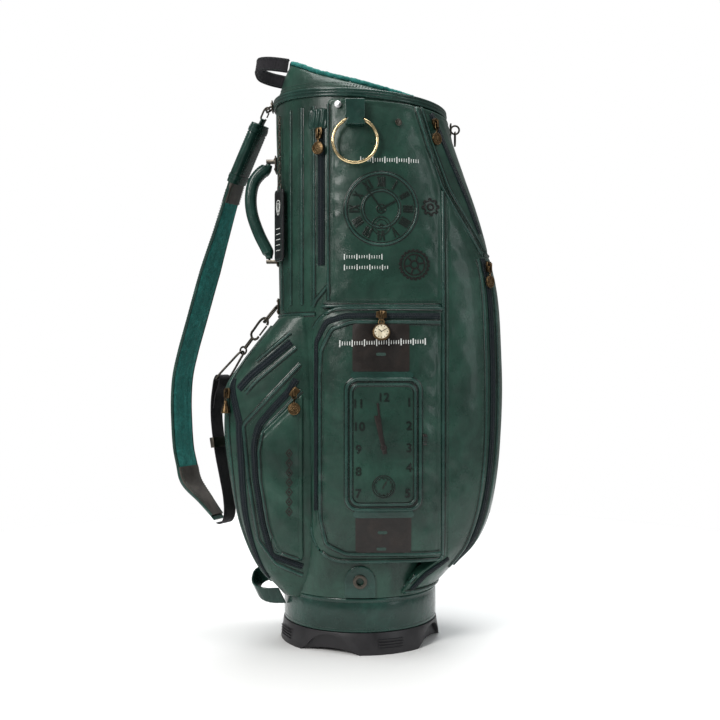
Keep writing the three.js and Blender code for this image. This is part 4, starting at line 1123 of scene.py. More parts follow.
def numeral_shapes(text, size):
    """A numeral's outline as flat triangles, from the built-in font."""
    curve = bpy.data.curves.new("numeral", "FONT")
    curve.body, curve.size, curve.align_x, curve.align_y = text, 1.0, "CENTER", "CENTER"
    curve.offset = 0.02
    obj = bpy.data.objects.new("numeral", curve)
    scene.collection.objects.link(obj)
    bpy.context.view_layer.update()
    mesh = bpy.data.meshes.new_from_object(obj)
    bpy.data.objects.remove(obj)
    co = np.array([v.co[:2] for v in mesh.vertices]) * size
    polygons = [np.array([list(p.vertices)]) for p in mesh.polygons]
    bpy.data.meshes.remove(mesh)
    return co, polygons


def numeral(skin, parts, text, x, z, side, size=17, lift=1.0):
    co, polygons = numeral_shapes(text, size)
    mirror = -side
    places = []
    for u, v in co:
        found = skin.drop(x + u * mirror, z + v, side)
        if found is None:
            return
        places.append(found[0] + found[1] * lift)
    parts.add(np.array(places), *polygons)


def wrist_watch(skin, trim, side):
    """A wrist watch worked on the side pocket: strap, lugs, case, crown, hours, hands and small seconds."""
    brown, case, ink = (trim.parts(k) for k in ("brown", "hide_shiny", "ink"))
    for x0, x1, z0, z1 in ((-10.5, 69.5, 403, 471.5), (-6.3, 72.3, 146, 201)):
        box = rounded_box(x0, x1, z0, z1, 4)
        plate(skin, brown, box, ((x0 + x1) / 2, (z0 + z1) / 2), side, 0.3, 0.7, 12, 4)
    for x, z in ((29.5, 428), (31.6, 177), (30.2, 153)):
        plate(skin, trim.parts("thread_light"), rounded_box(x - 7, x + 7, z - 2.2, z + 2.2, 2.1), (x, z),
              side, 0.9, 0.5, 4, 1.2)
    for x0, x1, z0, z1 in ((-13, 75, 394, 403.5), (-10, 76, 198, 208)):
        plate(skin, case, rounded_box(x0, x1, z0, z1, 5), ((x0 + x1) / 2, (z0 + z1) / 2), side, 0.6, 1.3, 5,
              3)
    outer, inner = rounded_box(-19, 85, 209.4, 393, 16), rounded_box(-12.5, 78, 216.5, 386, 12)
    for line, r in ((outer, 2.2), (inner, 1.8)):
        p, n = skin.beside(soften(line, 1, True), side, 2.5, True)
        trim.pipe((p, n), r, "piping", 0.35, True)
    # near-black band in the channel between the case's two pipes, painted shade of the groove; the hours and
    # small-seconds rings below use the same near-black leather as painted relief shade
    stroke(skin, trim.parts("emboss"), rounded_box(-15.7, 81.5, 213, 389.5, 14), side, 2.2, 0.35, True)
    for text, x, z in (("11", -2.5, 358), ("12", 33, 367), ("1", 69, 360), ("10", -1.5, 326), ("2", 69, 327),
                       ("9", -2, 294), ("3", 69, 296), ("8", -2, 263), ("4", 69, 268), ("7", -2.5, 232),
                       ("5", 67, 232)):
        numeral(skin, trim.parts("emboss"), text, x, z, side)
    for reach, angle, width in ((63, -7.6, 3.0), (46, -13, 6.0)):
        a = math.radians(angle)
        line = [(33 + q * math.sin(a), 297 + q * math.cos(a)) for q in np.linspace(-9, reach, 12)]
        stroke(skin, brown, line, side, width, 1.2)
    stroke(skin, brown, circle(33, 297, 3.2, 24), side, 2.6, 1.3, True, 1.2)
    for r, width in ((15.5, 1.3), (12.8, 0.8)):
        stroke(skin, trim.parts("emboss"), circle(33, 242, r, 60), side, width, 0.7, True)
    for k in range(12):
        a = math.radians(30 * k)
        stroke(skin, ink, [(33 + q * math.sin(a), 242 + q * math.cos(a)) for q in (10, 11, 12.2)], side, 0.8,
               0.9, False, 1)
    stroke(skin, brown, [(33 + q * 0.5, 242 + q * 0.87) for q in (-3, 2, 8.5)], side, 1.1, 1.1)
    plate(skin, brown, rounded_box(87.5, 94, 300, 316, 2.5), (90.7, 308), side, 0.5, 3.0, 5, 1.5)
    for z in (302.5, 304.6, 306.7, 308.8, 310.8):
        stroke(skin, trim.parts("piping"), [(87.8, z), (90.7, z), (93.7, z)], side, 0.7, 3.2)


# ------------------------------------------------------------------ the trim of each panel
def side_trim(skin, trim, side):
    lay = lambda points, **how: skin.beside(points, side, **how)
    # side pocket
    border = rounded_box(-69.3, 118, 134.5, 492.8, 45, (1, 0, 0, 1), 9)
    trim.pipe(lay(border[:-2]), 2.4)
    inner = soften([(114, 473.5), (-12, 473.5), (-40, 464), (-55, 434), (-57, 400), (-56.5, 196), (-48, 158),
                    (-20, 145), (114, 144)], 3)
    trim.pipe(lay(inner), 2.2)
    trim.thread(lay(soften([(114, 468.5), (-10, 468.5), (-36, 460), (-50, 432), (-52, 400), (-51.5, 197),
                            (-44, 162), (-19, 150),
                            (114, 149)], 3)), 4.0)
    trim.zip(lay(soften([(113, 482.6), (-20, 482.6), (-48, 474), (-62.5, 446), (-63, 400), (-63, 206)], 3)),
             8.5, 0.2)
    trim.pipe(lay([(118.8, 140), (118.8, 662)]), 2.2)
    trim.thread(lay([(126, 140), (126, 640)]), 4.0)
    # upper side panel
    trim.pipe(lay(soften([(-45, 505), (-45, 784)], 1)), 1.7)
    trim.pipe(lay([(-54, 497), (116, 497)]), 2.2)
    trim.thread(lay([(-48, 504), (114, 504)]), 4.0, "thread_light")
    trim.thread(lay([(-40, 512), (-40, 782)]), 4.0, "thread_light")
    trim.pipe(lay(soften([(-45, 527), (-64, 505), (-67, 497)], 2)), 2.0)
    trim.zip(lay([(-55.5, 762), (-55.5, 556)]), 11, 0.4)
    for x, r in ((-66, 1.9), (-84, 2.0), (-101, 1.7)):
        trim.pipe(lay([(x, 784), (x, 500)]), r)
    for x in (-71, -89):
        trim.thread(lay([(x, 784), (x, 500)]), 4.0, "thread_light")
    # slanted seam between the front pockets
    slant = [(79, 784), (98, 724), (118.5, 668), (148, 620), (178.5, 572.5)]
    trim.pipe(lay(soften(slant, 1)), 2.1)
    shifted = [(x + 9, z + 2) for x, z in slant]
    trim.pipe(lay(soften(shifted, 1)), 1.5)
    trim.thread(lay([(x + 5, z + 1) for x, z in slant]), 4.0, "thread_light")
    trim.zip(lay([(103, 778), (111.5, 762), (133, 712), (157, 656), (176, 606)]), 11, 0.3)
    # zip down the front pocket's corner
    corner = math.radians(-23.5 if side == NEAR else 23.5)
    trim.zip(skin.around([(corner, 568), (corner, 122)]), 12, 0.2)
    for shift in (-0.062, 0.062):
        trim.pipe(skin.around([(corner + shift, 566), (corner + shift, 116)]), 1.9)
    for shift in (-0.09, 0.09):
        trim.thread(skin.around([(corner + shift, 564), (corner + shift, 118)]), 4.0, "thread_light")
    # rear pocket
    face = soften([(-83, 131), (-122, 144), (-133.5, 185), (-143.6, 247), (-146, 290), (-140, 318),
                   (-108, 350),
                   (-84, 376)], 3)
    tape = [(-83, 121), (-128, 136), (-141, 182), (-151, 245), (-154, 290), (-152, 306)]
    trim.zip(lay(soften(tape, 2)), 9, 0.2)
    trim.zip(lay(soften([(-151.5, 308), (-146, 326), (-126, 350), (-103, 374), (-92, 392)], 3)), 10, 0.3)
    trim.zip(lay(soften([(-176, 378), (-160, 396), (-100, 446)], 2)), 11, 0.3)
    trim.pipe(lay(soften([(-166, 372), (-152, 388), (-92, 438)], 2)), 1.9)
    trim.pipe(lay([(-150, 418), (-100, 460)]), 1.9)
    outer = soften([(-83, 108), (-122, 124), (-148, 159), (-162, 247), (-169.6, 326), (-86, 414)], 2)
    trim.pipe(lay(outer), 2.1)
    trim.thread(lay(soften([(-83, 114), (-125, 130), (-144, 164), (-157, 247), (-163, 322), (-88, 404)], 2)),
                4.0,
                "thread_light")
    if side == NEAR:
        trim.pipe(lay(face), 1.6)
    # front of the foot of the bag
    trim.pipe(lay([(64, 92), (84, 113), (118, 139)]), 2.0)
    trim.zip(lay([(74, 89), (94, 110), (128, 132)]), 9, 0.3)


def round_trim(skin, trim):
    turn = 2 * math.pi
    for z in (35.8, 74.8):
        trim.thread(skin.around([(0, z), (turn, z)], 0.03), 4.2, "thread_light", 0, True)
    # level seams: over the foot, between the front pockets, and over the rear pocket
    for low, high, z, r in ((-58, 58, 86.5, 2.3), (-21, 21, 574, 2.0), (122, 238, 486, 2.0)):
        trim.pipe(skin.around([(math.radians(low), z), (math.radians(high), z)], 0.03), r)
    # seams up the spine and over the rear pocket
    for degrees, inward in ((159, 0.03), (201, -0.03)):
        a = math.radians(degrees)
        trim.pipe(skin.around([(a, 782), (a, 494)], 0.02), 1.8)
        trim.thread(skin.around([(a + 0.045, 782), (a + 0.045, 494)], 0.02), 4.0, "thread_light")
        trim.pipe(skin.around([(a, 470), (a, 92)], 0.02), 1.9)
        trim.thread(skin.around([(a + inward, 470), (a + inward, 92)], 0.02), 4.0, "thread_light")
    trim.zip(skin.around([(math.radians(202), 392), (math.radians(206), 330), (math.radians(206), 100)],
                         0.02), 11, 0.2)
    # double seams of the cuff and its band
    for above in (10, 15):
        trim.thread(cuff_line(above), 4.4, "thread_light", 0, True)


def cuff_line(above):
    """A line round the cuff at a height above its band."""
    angle = full_turn(260)
    low = cuff_seam(angle)
    tall = np.maximum(rim_z(angle) - 5 - low, 1)
    rise = np.minimum(above, (0.4 + 0.025 * above) * tall)
    share = rise / tall
    r = mouth_radius(angle) + (rim_radius(angle) - mouth_radius(angle)) * share + 2.5 * np.sin(math.pi * share)
    out = np.stack([np.cos(angle), np.sin(angle), 0.25 + 0 * angle], -1)
    return polar(angle, r, low + rise), unit(out)


def motifs(skin, trim, side):
    roman_dial(skin, trim, side, 30, 634, 52.4)
    dark = trim.parts("ink")
    gear(skin, dark, side, 100.6, 638, 12, 8, 2.8, 4.2, 0, 2.4)
    gear(skin, dark, side, 77, 555, 21.2, 22, 2.4, 5.5, 6, 2.3, 0.2)
    pale = trim.parts("white")
    tick_row(skin, pale, side, 1, 83, 703, 703, 9)
    tick_row(skin, pale, side, -22, 31, 566, 566, 8)
    tick_row(skin, pale, side, -22, 39, 551, 551, 8)
    wrist_watch(skin, trim, side)
    tick_row(skin, pale, side, -28, 92, 443, 446, 9.5, 1.35)


def garage_flap(side):
    """A little gathered flap over the top stop of the upper zip."""
    x0, x1, z0, z1 = -75, -47, 750, 780
    outline = resample(np.array(rounded_box(x0, x1, z0, z1, 6)), 1.5, True)
    centre = np.array([(x0 + x1) / 2, (z0 + z1) / 2])
    plan = centre + np.linspace(1, 0, 16)[:, None, None] * (outline - centre)
    flat = plan.reshape(-1, 2)
    d = edge_distance(flat, outline)
    p, n = side_point(lambda a, z: tube_radius(a, z) + 3.0, flat[:, 0], flat[:, 1], side)
    folds = 1.1 * np.sin((flat[:, 0] - x0) * 0.95 + 1.6 * np.sin(flat[:, 1] * 0.12)) * np.clip(d / 5, 0, 1)
    verts = p + n * (quarter(d, 2.5) + folds + 1.4 * (1 - np.exp(-(d / 6) ** 2)))[:, None]
    skirt = verts[:len(outline)] - n[:len(outline)] * 3
    made = Parts().add(verts, grid(16, len(outline), True)).add(np.concatenate([skirt, verts[:len(outline)]]),
                                                              grid(2, len(outline), True))
    return from_parts("garage_flap_near" if side == NEAR else "garage_flap_far", made, M["hide_shiny"])


# ------------------------------------------------------------------ handles, strap and tag
def flat_path(points, count, twist=None):
    """Points of an XZ path, with the strap's width direction and its outward face direction at each."""
    p = spline([(x, 0, z) for x, z in points], count)
    t = tangents(p)
    out = np.stack([t[:, 2], 0 * t[:, 0], -t[:, 0]], 1)
    lean = np.radians(twist(p[:, 2])) if twist else np.zeros(count)
    across = np.stack([0 * lean, np.cos(lean), 0 * lean], 1) - out * np.sin(lean)[:, None]
    return p, unit(np.cross(t, across))


LINK_BAR, UPPER_BAR = np.array([-147, 0, 478.5]), np.array([-143.5, 0, 803])
STRAP_LEAN = -28  # degrees from the XZ plane


def turned(v):
    """From the strap's own plane to where it rests, turned about the line through its two bars."""
    axis = unit(UPPER_BAR - LINK_BAR)
    a = math.radians(STRAP_LEAN)
    w = v - LINK_BAR
    return (w * math.cos(a) + np.cross(axis, w) * math.sin(a) + np.outer(w @ axis,
                                                                         axis).reshape(w.shape) * (1 - math.cos(a))
            + LINK_BAR)


def turned_dir(n):
    return turned(n + LINK_BAR) - LINK_BAR


def smoothstep(x, a, b):
    t = np.clip((x - a) / (b - a), 0, 1)
    return t * t * (3 - 2 * t)


def carry_handle():
    points = [(-139.5, 720), (-142, 715), (-152, 708), (-163, 694), (-168, 671), (-166, 645), (-155, 613),
              (-144, 591),
              (-140.5, 583), (-139.5, 576)]
    p, n = flat_path(points, 110)
    share = np.linspace(0, 1, 110)
    t = smoothstep(np.abs(2 * share - 1), 0.86, 0.99)
    scales = np.stack([(1 - 0.48 * t) * 0.985, (1 - 0.45 * t) * 1.2], 1)
    verts, faces = swept(p, n, oval_section(27, 15, 2.7, 36), scales=scales)
    grip = piece("handle_grip", verts, faces, M["hide_shiny"], "carry_grip", nodes=("carry_handle",))
    parts = Parts()
    for edge in (-1, 1):
        side = np.cross(n, tangents(p))
        wide = 13.1 * scales[:, :1]
        line = p + side * edge * wide * 0.96
        keep = slice(6, -6)
        parts.lay(swept(line[keep], side[keep] * edge, round_section(1.3, 8)))
    from_parts("handle_piping", parts, M["piping"], body="carry_grip")
    thread = Parts()
    for edge in (-1, 1):
        for face in (-1, 1):
            side = np.cross(n, tangents(p))
            line = p + side * edge * 9.6 * scales[:, :1] + n * face * 6.6 * scales[:, 1:]
            sew(thread, line[8:-8], n[8:-8] * face, 4.0)
    from_parts("handle_thread", thread, M["thread_light"], body="carry_grip")


def lift_handle():
    half, reach = 48.5, 49
    points = [(3, -half, 0), (-12, 1 - half, 0), (-30, 6 - half, 0), (4 - reach, 20 - half, 0),
              (-reach, 0, 0),
              (4 - reach, half - 20, 0), (-30, half - 6, 0), (-12, half - 1, 0), (3, half, 0)]
    p = spline(points, 100)
    up = np.tile([0.0, 0, 1], (100, 1))
    deep = unit(np.cross(tangents(p), up))
    a = math.radians(9)
    turn = about_y(a)
    at = np.array([-110, 0, 859])
    place = lambda v: v @ turn.T + at
    section = [(w, d) for d, w in flat_ribs(21, 2.2)]
    verts, faces = swept(place(p), unit(deep @ turn.T), np.array(section)[:, ::-1])
    piece("lift_webbing", verts, faces, M["webbing"], "lift_loop", "webbing_black", ("lift_handle",))
    thread = Parts()
    for height in (-8.2, 8.2):
        for face in (-1, 1):
            line = place(p + up * height + deep * face * 1.15)
            sew(thread, line, unit(deep @ turn.T) * face, 3.4)
    from_parts("lift_thread", thread, M["thread"], body="lift_loop", slot="webbing_black")


def flat_ribs(width, thick, ribs=6):
    """A webbing section: flat, with shallow ribs along it and rounded selvedges."""
    w = width / 2
    top = [(x, thick / 2 * (1 - 0.18 * (k % 2))) for k,
           x in enumerate(np.linspace(w - 0.8, 0.8 - w, 2 * ribs + 1))]
    return [(w, 0.3 * thick)] + top + [(-w, 0.3 * thick), (-w, -0.3 * thick)] + [(-x, -z) for x,
                                                                                 z in top] + [(w, -0.3 * thick)]


def shoulder_strap():
    twist = through([[560, 0], [640, -10], [790, -14]])
    pad = [(-200, 698), (-213, 663), (-226, 626), (-242, 583), (-257, 541), (-277, 482), (-294, 432),
           (-304, 394),
           (-307, 357), (-306, 321), (-302, 277), (-296, 254), (-288, 227), (-258, 197), (-231, 170)]
    count = 220
    p, n = flat_path(pad, count, twist)
    share = np.linspace(0, 1, count)
    t = smoothstep(share, 0.84, 1)
    scales = np.stack([1 - 0.42 * t, 1 - 0.62 * t], 1)
    soft = ripples(31, 45)(p)
    body_scales = scales * np.stack([0.985 + 0.008 * soft, 0.9 + 0.04 * soft], 1)
    p, n = turned(p), turned_dir(n)
    inner = n * np.sign(np.median(n[:, 0]))  # the face that lies towards the bag
    verts, faces = swept(p - inner * 0.8, n, oval_section(50, 7.4, 3.4, 36), scales=body_scales)
    back = piece("strap_pad_hide", verts, faces, M["hide_shiny"], "strap", nodes=("strap_pad",))
    # plush lining, with two sewn channels
    keep = slice(8, int(count * 0.845))
    a = oval_section(43.5, 7.2, 3.0, 60)
    channel = 1 - 0.2 * np.exp(-((np.abs(a[:, 0]) - 8) / 1.5) ** 2) * (a[:, 1] > 0)
    a = a * np.stack([np.ones(len(a)), channel], 1)
    lining_p, lining_n = (p + inner * 1.3)[keep], inner[keep]
    verts, faces = swept(lining_p, lining_n, a, scales=scales[keep])
    verts = verts + ripples(33, 7)(verts)[:, None] * 0.25 * np.repeat(lining_n, len(a), 0)
    lining = piece("strap_pad_plush", verts, faces, M["plush"], "strap", "plush_teal")
    trim, thread = Parts(), Parts()
    b = np.cross(n, tangents(p))
    for edge in (-1, 1):
        line = (p + inner * 1.0 + b * edge * 23.6 * scales[:, :1])[4:-3]
        trim.lay(swept(line, n[4:-3], round_section(1.7, 10)))
        line = p + b * edge * 20.6 * scales[:, :1] - inner * 4.3 * scales[:, 1:]
        w, q, m = walk(line[6:-6], -inner[6:-6], 4.2)
        scattered(thread, w - inner[0] * 0.3, q, m, STITCH)
    from_parts("strap_piping", trim, M["piping"], body="strap")
    from_parts("strap_thread", thread, M["thread_light"], body="strap")
    # leather caps over both ends of the lining
    caps, cap_thread = Parts(), Parts()
    for a0, a1 in ((0.0, 0.062), (0.815, 0.985)):
        cut = slice(int(a0 * count), int(a1 * count) + 1)
        wide = scales[cut] * np.array([1.0, 1.02])
        caps.lay(swept((p + inner * 0.5)[cut], inner[cut], oval_section(49, 10.6, 4.2, 40), scales=wide))
        for edge in (-1, 1):
            line = (p + inner * (0.5 + 5.35 * scales[:, 1:]) + b * edge * 21.2 * scales[:, :1])[cut]
            sew(cap_thread, line[2:-1], inner[cut][2:-1], 4.0)
    from_parts("strap_caps", caps, M["grey_brown"], body="strap")
    from_parts("strap_cap_thread", cap_thread, M["thread_light"], body="strap")
    # sleeve at the top
    s, m = flat_path([(-155, 783.5), (-165, 764), (-182, 732), (-200.2, 697)], 60, twist)
    s, m = turned(s), turned_dir(m)
    k = np.linspace(0, 1, 60)
    rim = 1 - 0.06 * np.exp(-((k - 0.13) / 0.02) ** 2) - 0.06 * np.exp(-((k - 0.87) / 0.02) ** 2)
    verts, faces = swept(s, m, oval_section(52, 20, 2.6, 40),
                         scales=np.stack([rim, rim * (1 - 0.1 * (1 - k))], 1))
    sleeve = piece("strap_sleeve_hide", verts, faces, M["hide_shiny"], "strap", nodes=("strap_sleeve",))
    thread = Parts()
    b = np.cross(m, tangents(s))
    for edge in (-1, 1):
        for face in (-1, 1):
            sew(thread, (s + b * edge * 17 + m * face * 8.5)[3:-3], m[3:-3] * face, 4.0)
    for at in (0.08, 0.92):
        i = int(at * 59)
        line = s[i] + b[i] * np.linspace(-11, 11, 14)[:, None]
        for face in (-1, 1):
            sew(thread, line + m[i] * face * 9.6, np.tile(m[i] * face, (14, 1)), 4.0)
    from_parts("sleeve_thread", thread, M["thread_light"], body="strap")
    band = Parts()
    for i0, i1 in ((4, 9), (51, 56)):
        cut = slice(i0, i1)
        band.lay(swept(s[cut], m[cut], oval_section(53.4, 21.2, 2.6, 40)))
    from_parts("sleeve_bands", band, M["piping"], body="strap")
    # tab that joins the sleeve to the upper hook
    s, m = flat_path([(-149, 791), (-151, 788), (-158, 777)], 20, twist)
    verts, faces = swept(turned(s), turned_dir(m), oval_section(17, 5, 3.0, 24))
    piece("strap_tab", verts, faces, M["hide_shiny"], "strap")
    # webbing through the adjuster
    web = [(-226.5, 165.5), (-220, 165), (-214, 171), (-211.5, 184), (-213.5, 208), (-220.5, 239),
           (-228, 270),
           (-233.5, 300), (-237, 330), (-237, 356), (-234, 378), (-231.5, 390), (-227, 396.2), (-221.5, 393),
           (-222.5, 382), (-229, 366), (-232.4, 345)]
    w, m = flat_path(web, 200)
    verts, faces = swept(turned(w), turned_dir(m), flat_ribs(30, 2.2, 8))
    piece("strap_webbing_woven", verts, faces, M["webbing"], "strap", "webbing_black", ("strap_webbing",))


def strap_frame(origin, lean):
    """Places drawing coordinates (X across the plane, Y across the strap, Z up) at a point of the strap's plane."""
    turn = about_y(lean)
    return lambda v: turned(np.asarray(v, float) @ turn.T + np.array([origin[0], 0, origin[1]]))


def loop_wire(points, r, count):
    """A closed smooth wire through 3-D points."""
    return wire(spline(np.concatenate([points, points[:1]]), count)[:-1], r, 14, True)


def strap_metal():
    ring = strap_frame((-226, 391), math.atan2(-147 + 226, 478.5 - 391))
    loop = [(0, -17, 0), (0, 0, -0.2), (0, 17, 0), (0, 17, 6), (0, 11, 34), (0, 5, 55), (0, 0, 57),
            (0, -5, 55),
            (0, -11, 34), (0, -17, 6)]
    verts, faces = loop_wire(loop, 1.7, 120)
    piece("strap_ring_wire", ring(verts), faces, M["gunmetal"], "strap", "antique_brass", ("strap_ring",))
    for node in ("strap_hook_lower", "strap_hook_upper", "strap_adjuster", "hook_gate_lower",
                 "hook_gate_upper",
                 "dring_lower", "dring_upper", "front_clip", "front_ring", "handle_anchor_top",
                 "handle_anchor_bottom"):
        crisp(node, "gunmetal", 0.3)


def rivets():
    """Domed rivets on the handle's brackets and the plates of the D-rings, and on the front ring's plate."""
    parts = Parts()
    dome = dome_mesh(2.1, 1.3)
    for y in (-9.5, 9.5):
        for z in (712, 727, 569, 583):
            x = -spine_reach(z) - 3.0
            add_turned(parts, dome, (x, y, z), math.pi)
    for y in (-8, 8):
        add_turned(parts, dome, (-135.8, y, 812.5), math.pi)
    for y in (-11.5, 11.5):
        for z in (494, 510):
            add_turned(parts, dome, (-spine_reach(506) - 2.8, y, z), math.pi)
    from_parts("rivets", parts, M["brass"], slot="antique_brass", smooth=50)


def dome_mesh(r, height, rings=5, sides=18):
    """A dome that rises along +X from its base circle."""
    rows = []
    a = full_turn(sides)
    for k in range(rings):
        q = k / (rings - 1) * math.pi / 2 * 0.97
        rows.append(np.stack([np.full(sides, height * math.sin(q)), r * math.cos(q) * np.cos(a),
                              r * math.cos(q) * np.sin(a)], 1))
    return np.concatenate(rows), [grid(rings, sides, True),
                                  np.array([range((rings - 1) * sides, rings * sides)]),
                                  np.array([range(sides - 1, -1, -1)])]


def add_turned(parts, template, at, angle):
    verts, faces = template
    turn = about_z(angle)
    parts.add(verts @ turn.T + np.array(at), *faces)


def tag_trim():
    """The tag's stitched frame, a plain stamped shield, its chain and a ring round the hanger."""
    angle = math.radians(207)
    r = float(tube_radius(np.array(angle), np.array(782.0))) + 5.5
    at = np.array([r * math.cos(angle), r * math.sin(angle), 782])
    a = angle + math.pi / 2
    turn = about_z(a)
    place = lambda v: np.asarray(v, float) @ turn.T + at
    thread, emboss, brass = Parts(), Parts(), Parts()
    out = turn @ np.array([0, -1, 0])
    outline = np.array(rounded_box(-12.4, 12.4, -213, -113, 4))
    line = resample(outline, 3.6, True)
    p = place(np.stack([line[:, 0], np.full(len(line), -2.2), line[:, 1]], 1))
    scattered(thread, p, tangents(p, True), np.tile(out, (len(p), 1)), STITCH)
    shield = [(-6.5, -128), (0, -125.5), (6.5, -128), (6.5, -140), (0, -150), (-6.5, -140)]
    for shape in (shield, [(x * 0.6, (z + 137) * 0.6 - 137) for x, z in shield]):
        q = resample(soften(shape, 2, True), 1.2, True)
        p = place(np.stack([q[:, 0], np.full(len(q), -2.0), q[:, 1]], 1))
        emboss.lay(swept(p, np.tile(out, (len(p), 1)), flat_section(1.0, 0.45, 0, -0.4), True))
    for z in (-168, -176, -184, -192, -200):
        q = np.stack([np.linspace(-7.5, 7.5, 8), np.full(8, -2.0), np.full(8, float(z))], 1)
        emboss.lay(swept(place(q), np.tile(out, (8, 1)), flat_section(1.1, 0.4, 0, -0.4)))
    for k, z in enumerate(np.arange(-4.5, -104, -4.6)):
        a = full_turn(20)
        tall, wide = 3.1, 1.9
        flat = np.stack([wide * np.cos(a), 0 * a, z + tall * np.sin(a)], 1) if k % 2 else np.stack(
            [0 * a, wide * np.cos(a), z + tall * np.sin(a)], 1)
        brass.lay(wire(place(flat), 0.75, 8, True))
    a = full_turn(40)
    brass.lay(wire(place(np.stack([6.4 * np.cos(a), 0 * a, -108 + 6.4 * np.sin(a)], 1)), 1.0, 10, True))
    from_parts("tag_thread", thread, M["thread_light"], body="tag", slot="tag_leather")
    from_parts("tag_emboss", emboss, M["white"], body="tag", slot="tag_leather")
    from_parts("tag_chain", brass, M["gunmetal"], body="tag", slot="antique_brass")
    # the leather plate itself, soft edged
    rows = []
    outline = resample(np.array(rounded_box(-15, 15, -216, -110, 5)), 2.0, True)
    for y, inset in ((2.0, 6.0), (2.0, 1.0), (1.5, 0.25), (0.6, 0), (-0.6, 0), (-1.5, 0.25), (-2.0, 1.0),
                     (-2.0, 6.0)):
        k = 1 - inset / 15
        m = 1 - inset / 53
        rows.append(place(np.stack([outline[:, 0] * k, np.full(len(outline), y),
                                    (outline[:, 1] + 163) * m - 163], 1)))
    verts = np.stack(rows)
    cols = len(outline)
    faces = [grid(len(rows), cols, True), np.array([range(cols)]), np.array([range(7 * cols, 8 * cols)])]
    piece("tag_plate", verts.reshape(-1, 3), faces, M["tag"], "tag", "tag_leather", ("hang_tag",))


# ------------------------------------------------------------------ zip pulls
def zip_frames():
    """Hinge point and turn of each pull, from its node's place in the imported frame's joints."""
    pulls = {"upper_zip": (-117.5, 0, "medallion", -22), "side_zip": (-90, 17, "watch", -26),
            "far_zip": (90, 17, "medallion", -24), "rear_side_zip": (-90, 10, "medallion", -24),
            "rear_zip": (-140, 0, "bell", -20), "front_upper_zip": (-46, 0, "medallion", -22),
            "front_zip": (-42, 0, "medallion", -22)}
    pivots = {j["name"]: j for j in frame["joints"]}
    made = {}
    for name, (face, hang, charm, charm_at) in pulls.items():
        joint = pivots[name + "_tab_swing"]
        at = np.array(joint["pos_m"]) / MM
        a, h = math.radians(face + 90), math.radians(-hang)
        yaw = about_z(a)
        tilt = np.array([[1, 0, 0], [0, math.cos(h), -math.sin(h)], [0, math.sin(h), math.cos(h)]])
        made[name] = (at, yaw @ tilt, charm, charm_at)
    return made


def charms():
    """Relief on the cast pulls: beaded rosettes, a pocket watch with its dial, and a ribbed bell."""
    for name, (at, turn, kind, drop) in zip_frames().items():
        place = lambda v: (np.asarray(v, float) + (0, 0, drop)) @ turn.T + at
        body = name + "_tab"
        crisp(name + "_slider", "brass", 0.3)
        crisp(name + "_pull", "brass", 0.3)
        brass = Parts()
        out = turn @ np.array([0, -1, 0])

        def ring_at(y, r, wire_r, count=48):
            a = full_turn(count)
            brass.lay(wire(place(np.stack([r * np.cos(a), np.full(count, y), r * np.sin(a)], 1)), wire_r, 8,
                           True))

        if kind == "medallion":
            for face in (-1, 1):
                ring_at(face * 1.0, 8.3, 0.75)
                ring_at(face * 1.0, 5.9, 0.4)
                for k in range(16):
                    a = k / 16 * 2 * math.pi
                    brass.add(*turned_dome(place, (7.1 * math.cos(a), face, 7.1 * math.sin(a)), 0.55, 0.5,
                                           face))
                for k in range(8):
                    a = k / 8 * 2 * math.pi
                    brass.add(*turned_dome(place, (3.6 * math.cos(a), face, 3.6 * math.sin(a)), 1.25, 0.6,
                                           face))
                brass.add(*turned_dome(place, (0, face, 0), 1.7, 1.1, face))
        elif kind == "watch":
            ring_at(-2.0, 10.9, 1.0)
            ring_at(2.0, 10.9, 1.0)
            ring_at(0, 11.7, 0.8)
            a = full_turn(48)
            rows = [place(np.stack([r * np.cos(a), np.full(48, y), r * np.sin(a)], 1)) for r, y in
                    ((10.2, -2.0), (10.2, -2.5), (6, -2.62), (0.2, -2.65))]
            piece("watch_dial", np.concatenate(rows), [grid(4, 48, True)], M["cream"], body, "antique_brass")
            ink = Parts()
            for k in range(12):
                q = k / 12 * 2 * math.pi
                r = np.linspace(7.6, 9.4, 4)
                line = place(np.stack([r * math.sin(q), np.full(4, -2.55), r * math.cos(q)], 1))
                ink.lay(swept(line, np.tile(out, (4, 1)), flat_section(0.7 if k % 3 else 1.2, 0.2, 0, -0.1)))
            for q, reach, width in ((-0.9, 5.2, 1.0), (1.05, 7.2, 0.8)):
                r = np.linspace(-1, reach, 6)
                line = place(np.stack([r * math.sin(q), np.full(6, -2.75), r * math.cos(q)], 1))
                ink.lay(swept(line, np.tile(out, (6, 1)), flat_section(width, 0.25, 0, -0.1)))
            from_parts("watch_marks", ink, M["ink"], body=body, slot="antique_brass")
            a = full_turn(40)
            brass.lay(wire(place(np.stack([4 * np.cos(a), 0 * a, 14.5 + 4 * np.sin(a)], 1)), 1.2, 10, True))
        else:
            a = full_turn(40)
            profile = [(1.7, 9.2), (2.6, 8.2), (2.9, 4.2), (4.2, 1.5), (5.6, -2.2), (6.6, -6.6), (7.0, -7.4),
                       (7.0, -8.2),
                       (6.6, -8.7), (6.8, -9.5), (5.6, -9.7), (5.2, -8.6)]
            rows = [place(np.stack([r * np.cos(a), r * np.sin(a), np.full(40, z)], 1)) for r, z in profile]
            brass.add(np.concatenate(rows), grid(len(rows), 40, True))
        from_parts(name + "_relief", brass, M["brass"], body=body, slot="antique_brass", smooth=50)


def turned_dome(place, at, r, height, face):
    a = full_turn(12)
    rows = []
    for k in range(4):
        q = k / 3 * math.pi / 2 * 0.96
        rows.append(np.stack([at[0] + r * math.cos(q) * np.cos(a),
                              np.full(12, at[1] + face * height * math.sin(q)),
                              at[2] + r * math.cos(q) * np.sin(a)], 1))
    return place(np.concatenate(rows)), grid(4, 12, True), np.array([range(36, 48)])


